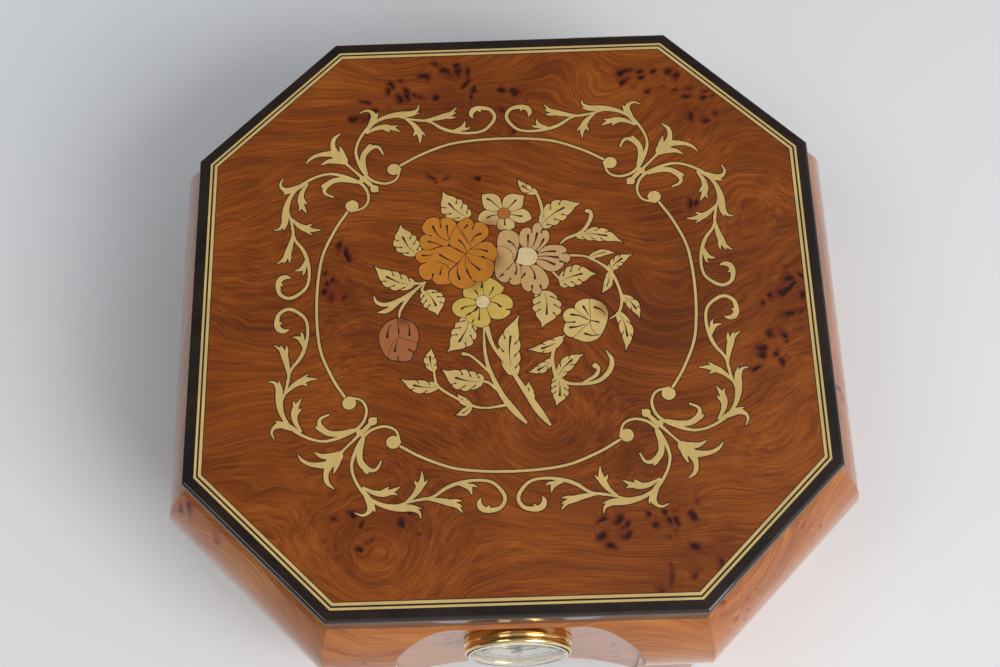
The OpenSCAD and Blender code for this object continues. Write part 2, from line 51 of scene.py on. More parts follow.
edging_low, edging_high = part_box("lid_edging")
LID_W = edging_high.x - edging_low.x
LID_TOP = edging_high.z
VENEER_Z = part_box("lid_veneer")[1].z


# ---------- camera, floor and light ----------

def add_camera():
    """The view from above and in front, placed in lid widths from the middle of the lid's top."""
    data = bpy.data.cameras.new("camera")
    data.lens = 57.15
    data.sensor_width = 36
    cam = bpy.data.objects.new("camera", data)
    cam.location = (0.0058 * LID_W, -1.0592 * LID_W, LID_TOP + 2.2635 * LID_W)
    cam.rotation_euler = [math.radians(a) for a in (24.031, 1.121, -1.445)]
    scene.collection.objects.link(cam)
    scene.camera = cam


def add_area_light(name, place, target, size, power, colour=(1, 1, 1)):
    data = bpy.data.lights.new(name, "AREA")
    data.shape = "RECTANGLE"
    data.size, data.size_y = size
    data.energy = power
    data.color = colour
    lamp = bpy.data.objects.new(name, data)
    lamp.location = place
    lamp.rotation_euler = (Vector(target) - Vector(place)).to_track_quat("-Z", "Y").to_euler()
    scene.collection.objects.link(lamp)


def add_world(colour, front, back):
    """A sky that is dimmer behind and on the left, where the lid would mirror it."""
    world = bpy.data.worlds.new("studio")
    world.use_nodes = True
    tree = world.node_tree
    behind = tree.nodes["Background"]
    way = tree.nodes.new("ShaderNodeTexCoord")
    lean = tree.nodes.new("ShaderNodeVectorMath")
    lean.operation = "DOT_PRODUCT"
    lean.inputs[1].default_value = (-0.7, 0.7, 0.0)
    tree.links.new(way.outputs["Generated"], lean.inputs[0])
    fade = tree.nodes.new("ShaderNodeMapRange")
    tree.links.new(lean.outputs["Value"], fade.inputs["Value"])
    for at, number in ((1, -0.6), (2, 0.3), (3, front), (4, back)):
        fade.inputs[at].default_value = number
    tree.links.new(fade.outputs[0], behind.inputs["Strength"])
    behind.inputs["Color"].default_value = (*colour, 1)
    scene.world = world


# ---------- node helpers ----------

def new_material(name):
    mat = bpy.data.materials.new(name)
    mat.use_nodes = True
    return mat, mat.node_tree, mat.node_tree.nodes["Principled BSDF"]


def put(tree, socket, value):
    """Links a socket to another one, or sets it."""
    if isinstance(value, bpy.types.NodeSocket):
        tree.links.new(value, socket)
    elif isinstance(value, (tuple, list)) and len(value) == 3 and socket.type == "RGBA":
        socket.default_value = (*value, 1)
    else:
        socket.default_value = value


def set_inputs(tree, node, **inputs):
    """Puts each value into the input of that name, with spaces for the underscores."""
    for key, value in inputs.items():
        put(tree, node.inputs[key.replace("_", " ")], value)


def add_node(tree, kind, props=None, **inputs):
    made = tree.nodes.new("ShaderNode" + kind)
    for key, value in (props or {}).items():
        setattr(made, key, value)
    set_inputs(tree, made, **inputs)
    return made


def math_node(tree, operation, a, b):
    made = add_node(tree, "Math", {"operation": operation})
    put(tree, made.inputs[0], a)
    put(tree, made.inputs[1], b)
    return made.outputs[0]


def times(tree, a, b):
    return math_node(tree, "MULTIPLY", a, b)


def plus(tree, a, b):
    return math_node(tree, "ADD", a, b)


def vector_node(tree, operation, a, b):
    made = add_node(tree, "VectorMath", {"operation": operation})
    put(tree, made.inputs[0], a)
    put(tree, made.inputs[1], b)
    return made.outputs["Value" if operation == "DISTANCE" else "Vector"]


def mix_colour(tree, factor, a, b):
    made = add_node(tree, "Mix", {"data_type": "RGBA"})
    put(tree, made.inputs[0], factor)
    put(tree, made.inputs[6], a)
    put(tree, made.inputs[7], b)
    return made.outputs[2]


def ramp(tree, factor, stops):
    made = tree.nodes.new("ShaderNodeValToRGB")
    bar = made.color_ramp
    while len(bar.elements) < len(stops):
        bar.elements.new(0.5)
    for element, (at, colour) in zip(bar.elements, stops):
        element.position = at
        element.color = (*colour, 1)
    put(tree, made.inputs[0], factor)
    return made.outputs[0]


def remap(tree, value, low, high, to_low=0.0, to_high=1.0):
    made = add_node(tree, "MapRange", {"interpolation_type": "SMOOTHSTEP"})
    for at, number in enumerate((value, low, high, to_low, to_high)):
        put(tree, made.inputs[at], number)
    return made.outputs[0]


def millimetres(tree):
    """The row frame's own coordinates in millimetres."""
    place = add_node(tree, "TexCoord").outputs["Object"]
    return vector_node(tree, "MULTIPLY", place, (1000, 1000, 1000))


def plan_distance(tree, x, y):
    """How far each point is from x, y in plan, in millimetres."""
    flat = vector_node(tree, "MULTIPLY", millimetres(tree), (1, 1, 0))
    return vector_node(tree, "DISTANCE", flat, (x, y, 0))


def noise(tree, place, scale, detail, rough=0.55, output="Fac"):
    """scale is how many ups and downs there are per millimetre, one number or one for each way."""
    if isinstance(scale, float):
        scale = (scale, scale, scale)
    stretched = vector_node(tree, "MULTIPLY", place, scale)
    made = add_node(tree, "TexNoise", Vector=stretched, Scale=1.0, Detail=detail, Roughness=rough)
    return made.outputs[output]


def warp(tree, place, field, reach):
    """Moves place by a colour field about its middle grey, over a range of reach millimetres."""
    centred = vector_node(tree, "SUBTRACT", field, (0.5, 0.5, 0.5))
    return vector_node(tree, "ADD", place, vector_node(tree, "MULTIPLY", centred, (reach, reach, reach)))


def shades(colour, *factors):
    return [c * f for c, f in zip(colour, factors if len(factors) > 1 else factors * 3)]


# ---------- wood ----------

def coat(tree, bsdf, roughness=0.35, weight=1.0, coat_roughness=0.04):
    set_inputs(tree, bsdf, Roughness=roughness, Specular_IOR_Level=0.15, Coat_Weight=weight,
        Coat_Roughness=coat_roughness, Coat_IOR=1.5)


def eye_field(tree, clusters):
    """How strongly each point lies in a cluster of burl eyes. A cluster is x, y, radius in plan."""
    total = 0.0
    for x, y, radius in clusters:
        here = remap(tree, plan_distance(tree, x, y), radius * 1.15, radius * 0.25)
        total = math_node(tree, "MAXIMUM", total, here)
    return total


def finer(along, closer):
    """The streaks so many times closer together, and shortened much less than that."""
    return [a * closer if a == max(along) else a * closer ** 0.4 for a in along]


def burl(name, stops, along, clusters=None, swirls=(), everywhere=0.0, seed=0.0, swirl=26.0):
    """Lacquered burl: fine lines that flow round slow swirls, with small dark eyes that the lines go round.
    stops: the tones from dark to pale. along: streaks per millimetre each way.
    clusters: where eyes gather on a flat board. everywhere: how strong the eyes are that lie anywhere else.
    swirls: x, y, radius and height in plan millimetres where the lines close into rings.
    swirl: how far the lines wander, in millimetres."""
    mat, tree, bsdf = new_material(name)
    place = vector_node(tree, "ADD", millimetres(tree), (seed * 37.0, seed * 91.0, seed * 53.0))
    slow = noise(tree, place, 0.011, 1.0, output="Color")
    wave = noise(tree, place, 0.045, 2.0, output="Color")

    # Eyes: one in most Voronoi cells, where scatter lets them be. rim grows from each eye's middle outwards
    here = noise(tree, place, 0.03, 1.0)
    scatter = times(tree, remap(tree, here, 0.55, 0.66), everywhere)
    if clusters:
        scatter = math_node(tree, "MAXIMUM", scatter, eye_field(tree, clusters))
    stirred = vector_node(tree, "ADD", place, vector_node(tree, "MULTIPLY", wave, (22, 22, 22)))
    flat = {"voronoi_dimensions": "2D" if clusters else "3D"}
    cells = add_node(tree, "TexVoronoi", flat, Vector=stirred, Scale=0.20)
    ragged = math_node(tree, "SUBTRACT", noise(tree, place, 0.9, 2.0), 0.5)
    rim = plus(tree, cells.outputs["Distance"], times(tree, ragged, 0.30))
    which = add_node(tree, "SeparateColor", Color=cells.outputs["Color"]).outputs[0]
    present = times(tree, remap(tree, scatter, 0.10, 0.5), remap(tree, which, 0.36, 0.50))

    # Lines: noise stretched along the grain, in a space that is warped, and raised at swirls and eyes
    raised = times(tree, remap(tree, rim, 0.95, 0.10), times(tree, present, 2.6))
    for x, y, radius, height in swirls:
        near = remap(tree, plan_distance(tree, x, y), radius, 0)
        raised = plus(tree, raised, times(tree, times(tree, near, near), height))
    warped = warp(tree, warp(tree, place, slow, swirl * 3.6), wave, swirl * 0.26)
    rings = add_node(tree, "CombineXYZ", X=raised, Y=raised, Z=raised).outputs[0]
    warped = vector_node(tree, "ADD", warped, rings)
    coarse = noise(tree, warped, along, 2.0, 0.5)
    streak = noise(tree, warped, finer(along, 3.2), 3.0, 0.6)
    fine = noise(tree, warped, finer(along, 11), 2.0, 0.6)
    pores = noise(tree, warped, finer(along, 20), 2.0, 0.5)
    cloud = noise(tree, place, 0.017, 2.0)
    tone = times(tree, coarse, 0.20)
    for part, share in ((streak, 0.18), (fine, 0.34), (cloud, 0.28)):
        tone = plus(tree, tone, times(tree, part, share))

    deep = stops[0][1]
    rusty = shades(deep, 1.15, 0.75, 0.8)
    patch = times(tree, scatter, remap(tree, streak, 0.40, 0.62))
    paler = times(tree, math_node(tree, "PINGPONG", remap(tree, rim, 0.98, 0.56), 0.5), present)
    halo = times(tree, remap(tree, rim, 0.58, 0.22), present)
    eye = times(tree, remap(tree, rim, 0.33, 0.12), present)
    colour = ramp(tree, remap(tree, tone, 0.33, 0.65), stops)
    for mask, strength, tint in ((remap(tree, pores, 0.50, 0.70), 0.46, deep), (patch, 0.42, rusty),
            (paler, 0.6, stops[-1][1]), (halo, 0.88, rusty), (eye, 0.95, shades(deep, 0.20))):
        colour = mix_colour(tree, times(tree, mask, strength), colour, tint)
    set_inputs(tree, bsdf, Base_Color=colour)
    coat(tree, bsdf, coat_roughness=0.03)
    return mat


def plain_wood(name, pale, dark, along, gloss=0.0, rough=0.5):
    """Straight-grained wood."""
    mat, tree, bsdf = new_material(name)
    place = millimetres(tree)
    streak = noise(tree, place, along, 5.0)
    fine = noise(tree, place, [5 * a for a in along], 2.0)
    tone = plus(tree, times(tree, streak, 0.7), times(tree, fine, 0.3))
    set_inputs(tree, bsdf, Base_Color=ramp(tree, remap(tree, tone, 0.35, 0.65), [(0, dark), (1, pale)]))
    if gloss:
        coat(tree, bsdf, rough, gloss)
    else:
        bump = add_node(tree, "Bump", Height=fine, Strength=0.15, Distance=0.0001)
        set_inputs(tree, bsdf, Roughness=rough, Normal=bump.outputs[0])
    return mat


def inlay_wood(name, colour, grain, scorch=None, seed=0.0):
    """Thin sawn inlay under lacquer. scorch is where hot sand has browned the wood: centre x, centre y,
    inner radius and outer radius in plan millimetres, and the colour."""
    mat, tree, bsdf = new_material(name)
    place = vector_node(tree, "ADD", millimetres(tree), (seed * 11.0, seed * 7.0, 0))
    streak = noise(tree, place, grain, 3.0)
    shade = noise(tree, place, 0.07, 1.0)
    tone = plus(tree, times(tree, streak, 0.55), times(tree, shade, 0.45))
    base = mix_colour(tree, remap(tree, tone, 0.38, 0.66), shades(colour, 0.86), colour)
    if scorch:
        x, y, inner, outer, burnt = scorch
        browned = remap(tree, plan_distance(tree, x, y), outer, inner)
        base = mix_colour(tree, times(tree, browned, 0.85), base, burnt)
    set_inputs(tree, bsdf, Base_Color=base)
    coat(tree, bsdf, 0.4)
    return mat


# ---------- metal, plastic, glass and velvet ----------

def metal(name, colour, rough, brushed=0.0):
    mat, tree, bsdf = new_material(name)
    place = millimetres(tree)
    mottled = noise(tree, place, 0.12, 3.0)
    base = mix_colour(tree, remap(tree, mottled, 0.3, 0.7), shades(colour, 0.86), colour)
    set_inputs(tree, bsdf, Base_Color=base, Metallic=1.0,
        Roughness=remap(tree, mottled, 0.3, 0.7, rough * 0.8, rough * 1.25))
    if brushed:
        lines = noise(tree, place, (0.2, 6, 0.2), 2.0)
        bump = add_node(tree, "Bump", Height=lines, Strength=brushed, Distance=0.00005)
        set_inputs(tree, bsdf, Normal=bump.outputs[0])
    return mat


def plastic(name, colour, rough):
    mat, tree, bsdf = new_material(name)
    speck = noise(tree, millimetres(tree), 1.5, 3.0)
    bump = add_node(tree, "Bump", Height=speck, Strength=0.09, Distance=0.00005)
    set_inputs(tree, bsdf, Base_Color=mix_colour(tree, speck, shades(colour, 0.9), colour),
        Roughness=remap(tree, speck, 0.3, 0.7, rough * 0.9, min(1, rough * 1.15)), Normal=bump.outputs[0])
    return mat


def glass(name, tint):
    mat, tree, bsdf = new_material(name)
    set_inputs(tree, bsdf, Base_Color=tint, Transmission_Weight=1.0, Roughness=0.01, IOR=1.45)
    return mat


def velvet(name, colour):
    """Short pile with a soft bright edge and crushed patches."""
    mat, tree, bsdf = new_material(name)
    place = millimetres(tree)
    pile = noise(tree, place, 3.2, 4.0)
    crush = noise(tree, place, (0.035, 0.05, 0.035), 2.0)
    base = mix_colour(tree, remap(tree, crush, 0.35, 0.65), shades(colour, 0.78), colour)
    bump = add_node(tree, "Bump", Height=pile, Strength=0.5, Distance=0.0003)
    set_inputs(tree, bsdf, Base_Color=mix_colour(tree, times(tree, pile, 0.4), base, shades(colour, 1.7)),
        Roughness=0.95, Sheen_Weight=0.8, Sheen_Roughness=0.35, Normal=bump.outputs[0])
    return mat


# ---------- flat shapes from signed distances ----------

# In millimetres: the grid's step, how far out a shape's distances are worked out, the dark line round an
# inlay, and the one between two petals
GRID = 0.16
REACH = 0.9
KERF = 0.36
SEAM = 0.20


def through(points, count=7, closed=False):
    """A smooth curve through points of any size, as a list with the end points kept."""
    p = np.array(points, float)
    padded = np.vstack([p[-2], p, p[1]] if closed else [2 * p[0] - p[1], p, 2 * p[-1] - p[-2]])
    out = []
    for i in range(1, len(p)):
        a, b, c, d = padded[i - 1:i + 3]
        for t in np.arange(count) / count:
            out.append(0.5 * (2 * b + (c - a) * t + (2 * a - 5 * b + 4 * c - d) * t**2
                + (3 * b - a - 3 * c + d) * t**3))
    out.append(p[-1])
    return np.array(out)


class Sheet:
    """Signed distances in millimetres over a window of the lid. solid is what is laid, and cut is solid
    less its slits."""

    def __init__(self, x0, y0, x1, y1, taken=None):
        self.x0, self.y0 = x0, y0
        self.xs = np.arange(x0, x1, GRID)
        self.ys = np.arange(y0, y1, GRID)
        shape = (len(self.ys), len(self.xs))
        self.solid = np.full(shape, 9.0)
        self.cut = np.full(shape, 9.0)
        self.taken = np.full(shape, 9.0) if taken is None else taken
        self.edge = -9.0

    def window(self, low, high, margin):
        i0, i1 = [int((v - self.y0) / GRID) for v in (low[1] - margin, high[1] + margin)]
        j0, j1 = [int((v - self.x0) / GRID) for v in (low[0] - margin, high[0] + margin)]
        part = (slice(max(i0, 0), i1 + 2), slice(max(j0, 0), j1 + 2))
        return part, self.xs[part[1]][None, :], self.ys[part[0]][:, None]

    def lay(self, part, s):
        """Adds s under whatever has been laid before, with a thin seam between them."""
        s = np.maximum(s, SEAM - self.taken[part])
        self.solid[part] = np.minimum(self.solid[part], s)
        self.cut[part] = np.minimum(self.cut[part], s)

    def claim(self):
        """Lets the next sheet of the same window lie under this one."""
        np.minimum(self.taken, self.solid, out=self.taken)

    def segments(self, path):
        for a, b in zip(path[:-1], path[1:]):
            widest = max(a[2], b[2]) / 2
            part, x, y = self.window(np.minimum(a, b), np.maximum(a, b), widest + REACH)
            run = b[:2] - a[:2]
            t = ((x - a[0]) * run[0] + (y - a[1]) * run[1]) / max(run @ run, 1e-9)
            t = np.clip(t, 0, 1)
            away = np.hypot(x - a[0] - t * run[0], y - a[1] - t * run[1])
            yield part, away - (a[2] + (b[2] - a[2]) * t) / 2

    def stroke(self, points):
        """A smooth stroke through (x, y, width) points."""
        for part, s in self.segments(through(points)):
            self.lay(part, s)

    def slit(self, points):
        for part, s in self.segments(through(points, 4)):
            self.cut[part] = np.maximum(self.cut[part], np.minimum(-s, self.taken[part]))

    def disc(self, x, y, radius):
        part, xs, ys = self.window((x, y), (x, y), radius + REACH)
        self.lay(part, np.hypot(xs - x, ys - y) - radius)

    def outline(self, points):
        """A closed outline, given as its corners in order."""
        p = np.array(points, float)
        part, x, y = self.window(p.min(0), p.max(0), REACH)
        away = np.full((y.shape[0], x.shape[1]), 9.0)
        inside = np.zeros(away.shape, bool)
        for a, b in zip(p, np.roll(p, -1, 0)):
            run = b - a
            t = np.clip(((x - a[0]) * run[0] + (y - a[1]) * run[1]) / max(run @ run, 1e-9), 0, 1)
            away = np.minimum(away, np.hypot(x - a[0] - t * run[0], y - a[1] - t * run[1]))
            if a[1] != b[1]:
                crosses = (a[1] > y) != (b[1] > y)
                inside ^= crosses & (x < a[0] + (y - a[1]) * run[0] / run[1])
        self.lay(part, np.where(inside, -away, away))

    def leaf(self, base, tip, width, teeth):
        """A pointed leaf with a slit along its midrib. Slits from the rim part its rounded teeth."""
        base, tip = np.array(base, float), np.array(tip, float)
        run = tip - base
        length = math.hypot(*run)
        side = np.array((-run[1], run[0])) / length

        def place(t, across):
            hook = 0.10 * length * (math.sin(math.pi * min(t, 1)) - 0.55 * max(0, t - 0.72))
            half = width * 0.60 * math.sin(math.pi * min(1, t * 0.88 + 0.08)) ** 0.7 * (1 - 0.30 * t)
            return base + run * t + side * (hook + across * half)

        edges, marks = {1: [], -1: []}, []
        for s in (1, -1):
            last = 0.66 if s > 0 else 0.58
            for t in np.linspace(0, 1, 10 * teeth + 1):
                phase = t / last * teeth
                scallop = 0.78 + 0.24 * abs(math.sin(math.pi * phase)) ** 0.5 if t < last else 0.80
                fade = min(1, max(0, (t - last) / (1 - last))) if t >= last else 0
                edges[s].append(place(t, s * (scallop + 0.16 * math.sin(math.pi * min(1, fade * 1.6)))
                    * (1 - fade**1.5)))
            for k in range(1, teeth + 1 if width > 3 else 1):
                t = k * last / teeth
                rim, foot = place(t + 0.015, s * 0.92), place(t - 0.075, s * 0.50)
                middle = rim * 0.5 + foot * 0.5
                marks.append([(*foot, min(0.6, width * 0.085)), (*middle, 0.3), (*rim, 0.3)])
        self.outline(edges[1] + [tip] + edges[-1][::-1])
        end = 0.85 if width > 3 else 0.45
        self.slit([(*place(0.03, 0), 0.14), (*place(0.32, 0), 0.26), (*place(0.62, 0), end)])
        for mark in reversed(marks):
            self.slit(mark)

    def sample(self, field, points):
        u = (points[:, 0] - self.x0) / GRID
        v = (points[:, 1] - self.y0) / GRID
        j = np.clip(u.astype(int), 0, field.shape[1] - 2)
        i = np.clip(v.astype(int), 0, field.shape[0] - 2)
        fu, fv = u - j, v - i
        return (field[i, j] * (1 - fu) * (1 - fv) + field[i, j + 1] * fu * (1 - fv)
            + field[i + 1, j] * (1 - fu) * fv + field[i + 1, j + 1] * fu * fv)

    def loops(self, field):
        """Closed contours of field at zero, inside on the right, thinned to the points the shape needs."""
        inside = field < 0
        corners = inside[:-1, :-1] * 1 + inside[:-1, 1:] * 2 + inside[1:, 1:] * 4 + inside[1:, :-1] * 8
        after = {}
        links = {1: "lb", 2: "br", 3: "lr", 4: "rt", 5: "lbrt", 6: "bt", 7: "lt", 8: "tl", 9: "tb",
            10: "brtl", 11: "tr", 12: "rl", 13: "rb", 14: "bl"}
        for i, j in zip(*np.nonzero((corners > 0) & (corners < 15))):
            ends = {"b": (0, i, j), "t": (0, i + 1, j), "l": (1, i, j), "r": (1, i, j + 1)}
            name = links[int(corners[i, j])]
            for k in range(0, len(name), 2):
                after.setdefault(ends[name[k]], []).append(ends[name[k + 1]])
        found = []
        while after:
            start = next(iter(after))
            key, loop = start, []
            while key in after:
                loop.append(key)
                following = after[key].pop()
                if not after[key]:
                    del after[key]
                key = following
            found.append(self.thin(np.array([self.crossing(field, k) for k in loop])))
        return [loop for loop in found if len(loop) > 2]

    def crossing(self, field, key):
        upright, i, j = key
        a = field[i, j]
        b = field[i + 1, j] if upright else field[i, j + 1]
        t = a / (a - b)
        return (self.x0 + (j + (0 if upright else t)) * GRID, self.y0 + (i + (t if upright else 0)) * GRID)

    def thin(self, loop):
        """Drops points that lie within slack of the line between two kept ones, up to longest in a row."""
        slack, longest = 0.012, 12
        kept = [0]
        n = len(loop)
        last = 0
        for i in range(2, n + 1):
            a, b = loop[last], loop[i % n]
            between = loop[last + 1:i]
            run = b - a
            size = math.hypot(*run)
            off = np.abs((between[:, 0] - a[0]) * run[1] - (between[:, 1] - a[1]) * run[0])
            off = off / max(size, 1e-9)
            if off.max() > slack or i - last > longest:
                last = i - 1
                kept.append(last)
        return loop[kept]

    def faces(self, which):
        """Points, triangles and rim loops of point numbers for cut, or for solid grown by the kerf."""
        field = np.maximum(self.cut if which == "cut" else self.solid - KERF, self.edge)
        loops = self.loops(field)
        points, rims = [], []
        for loop in loops:
            rims.append(list(range(len(points), len(points) + len(loop))))
            points += [tuple(p) for p in loop]
        edges = [(r[k], r[(k + 1) % len(r)]) for r in rims for k in range(len(r))]
        made, _, tris, origin, _, _ = delaunay_2d_cdt([Vector(p) for p in points], edges, [], 0, 1e-5)
        made = np.array([tuple(p) for p in made])
        middle = made[np.array(tris)].mean(1)
        keep = self.sample(field, middle) < 0
        where = {}
        for new, olds in enumerate(origin):
            for old in olds:
                where[old] = new
        rims = [[where[k] for k in r] for r in rims]
        return made, [t for t, k in zip(tris, keep) if k], rims


def new_piece(name, verts, faces, material, body, shaded=False):
    mesh = bpy.data.meshes.new(name)
    mesh.from_pydata(verts, [], faces)
    mesh.validate()
    mesh.materials.append(material)
    if shaded:
        mesh.shade_smooth()
    piece = bpy.data.objects.new(name, mesh)
    scene.collection.objects.link(piece)
    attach(piece, body)
    return piece


def lid_piece(name, made, layer, placings, material):
    """A thin closed slab on the lid from a sheet's faces. layer is its top and its thickness. Each placing
    repeats it: a function of the x and y arrays, and whether that flips it."""
    points, tris, rims = made
    top, thick = layer
    n = len(points)
    verts, polys = [], []
    for place, flipped in placings:
        x, y = place(points[:, 0], points[:, 1])
        first = len(verts)
        verts += [(a * MM, b * MM, z) for z in (top, top - thick) for a, b in zip(x, y)]
        for t in tris:
            up = t[::-1] if flipped else t
            polys.append([first + k for k in up])
            polys.append([first + n + k for k in up[::-1]])
        for rim in rims:
            for a, b in zip(rim, rim[1:] + rim[:1]):
                if a == b:
                    continue
                wall = [first + a, first + n + a, first + n + b, first + b]
                polys.append(wall if flipped else wall[::-1])
    return new_piece(name, verts, polys, material, "lid")


# ---------- marquetry, in plan millimetres ----------

PATTERN_X, PATTERN_Y, PATTERN_SQUASH = -0.5, 3.0, 0.97

# Strokes of (x, y, width): one half of the scrollwork of the upper left corner
SCROLLS = [
    [(-37.2, 55.6, .7), (-38.6, 51.3, .8), (-42.1, 49.6, .9), (-46.2, 50.4, 1.0), (-49, 52.5, 1.1),
        (-51, 55.9, 1.3), (-52.5, 59.4, 1.2), (-53.3, 62.8, 1.0), (-52.8, 66.3, .9), (-51.1, 70.1, 1.0),
        (-48.3, 73.9, 1.1), (-44.2, 76.7, 1.4), (-40, 78, 2.1), (-36.5, 78.3, 2.6), (-33.5, 78.6, 2.0),
        (-31, 80, 1.0), (-30.4, 82.2, .2)],
    [(-36, 78, 2), (-33, 78, 1.2), (-30.2, 78.8, .2)],
    [(-49.3, 54, .8), (-50.6, 58, 1.8), (-50.5, 61.5, 2.0), (-48.8, 64, 2.1), (-46.5, 65, 1.3),
        (-44.8, 64.4, 1.0), (-43.5, 61.9, .6)],
    [(-50, 63, 1.2), (-48.6, 65.5, .8), (-47.6, 66, .3)],
    [(-49.6, 71.3, .6), (-47.9, 74.5, 2.0), (-46.8, 77.5, 2.3), (-47.9, 79.8, 1.2), (-49.8, 80.4, .8),
        (-52, 79.5, .3)],
    [(-46.8, 76, 1.4), (-45.8, 78, .9), (-45.5, 79.3, .3)],
    [(-49.4, 70.8, .6), (-46, 72.7, 1.6), (-42.5, 73.2, 2.2), (-40, 72.5, 1.6), (-37.2, 71.0, .2)],
    [(-43, 72.7, 1.6), (-41.6, 71.6, .9), (-41, 70.9, .2)],
    [(-40.5, 73, 1.5), (-38.8, 73.4, .6), (-38.2, 73.9, .2)],
    [(-38, 77.3, .5), (-34, 76.3, .8), (-29, 75.4, 1.0), (-25, 76, 1.6), (-21, 77, 2.3), (-18.5, 78.3, 1.3),
        (-16.6, 80.6, .2)],
    [(-21.5, 77, 2.0), (-19, 76.4, 1.2), (-17, 76.4, .3)],
    [(-20.5, 77.4, 1.4), (-18, 77.8, .8), (-16.8, 78.6, .2)],
    [(-35.5, 76.6, .6), (-32.5, 74, 1.6), (-30.6, 71, 2.4), (-30, 68.5, 1.3), (-30, 65.8, .2)],
    [(-31, 72, 1.6), (-29.2, 70.3, .9), (-28.1, 68.9, .2)],
    [(-31, 71.5, 1.4), (-32, 69.8, .8), (-32.3, 69, .2)],
    [(-31, 76, .5), (-26, 74.6, .9), (-22.5, 72.2, 1.2), (-18.5, 70.5, 1.3), (-12.5, 69.5, 1.0),
        (-7, 70.3, 1.0), (-3.6, 73.6, 1.2), (-2.7, 76.6, 1.2), (-4.5, 79.3, 1.3), (-8, 80, 1.8),
        (-10.4, 79.2, 2.0), (-11.2, 77.4, 1.5), (-10.7, 75.8, .3)],
    [(-8.5, 79.5, 1.4), (-7.8, 78.4, .3)],
    [(-18, 70.7, .6), (-15.5, 71.2, 1.9), (-14.1, 72.5, 1.3), (-13.6, 74.4, .3)],
    [(-14.6, 71.4, 1.6), (-13, 71.3, .9), (-11.7, 71.9, .2)],
]

# The flame flower on each corner's diagonal, with its stem and knot
FLAME = [
    [(-45.4, 46.6, .9), (-48.8, 50.2, 1.6), (-52, 53.4, 1.0), (-56.5, 58, 1.0), (-58, 59.8, 3.6),
        (-59.6, 61.2, 4.2)],
    [(-58.2, 60.5, 3.0), (-58.4, 63, 1.7), (-59.2, 65.6, .3)],
    [(-60.3, 61.8, 3.0), (-61.7, 65.5, 1.8), (-61.3, 68.8, 1.4), (-59, 71, .3)],
    [(-60.5, 62, 2.6), (-62.5, 62.6, 2.4), (-66.6, 62.3, 1.5), (-69.6, 60.9, 1.1), (-71.3, 58.8, .3)],
    [(-59, 59.6, 2.6), (-63, 59.5, 1.7), (-65.8, 58.1, .3)],
    [(-61.6, 62, 1.8), (-63, 63.6, .5)],
]
RING_ARC = [(-37.0, 56.9, .95), (-30, 60.9, .95), (-20, 64.9, .95), (-10, 66.4, .95), (0.6, 66.8, .95),
    (6, 66.8, .95)]
BEADS = [(-39.5, 55.3, 2.35), (-46.3, 47.7, 1.35), (-50.4, 51.8, 1.1)]


def to_pattern(points):
    return [((p[0] - PATTERN_X), (p[1] - PATTERN_Y) / PATTERN_SQUASH, *p[2:]) for p in points]


def about_diagonal(points):
    return [(-p[1], -p[0], *p[2:]) for p in points]


def scrollwork():
    """One quarter of the ring and its scrolls, about the pattern's own centre."""
    sheet = Sheet(-84, -4, 4, 84)
    for strokes in (SCROLLS, [RING_ARC]):
        for points in strokes:
            here = to_pattern(points)
            for path in (here, about_diagonal(here)):
                for part, s in sheet.segments(through(path)):
                    sheet.solid[part] = np.minimum(sheet.solid[part], s)
    for points in FLAME:
        for part, s in sheet.segments(through(to_pattern(points))):
            sheet.solid[part] = np.minimum(sheet.solid[part], s)
    for x, y, r in to_pattern(BEADS):
        for a, b in ((x, y), (-y, -x)):
            part, xs, ys = sheet.window((a, b), (a, b), r + REACH)
            sheet.solid[part] = np.minimum(sheet.solid[part], np.hypot(xs - a, ys - b) - r)
    sheet.edge = np.maximum(sheet.xs[None, :], -sheet.ys[:, None])
    sheet.cut = sheet.solid
    return sheet


def quarter_placings():
    """The four mirror images of a quarter, put where the pattern lies on the lid."""
    placings = []
    for sx in (1, -1):
        for sy in (1, -1):
            placings.append((lambda x, y, sx=sx, sy=sy: (sx * x + PATTERN_X,
                sy * y * PATTERN_SQUASH + PATTERN_Y), sx * sy < 0))
    return placings


WINDOW = (-50, -50, 50, 54)

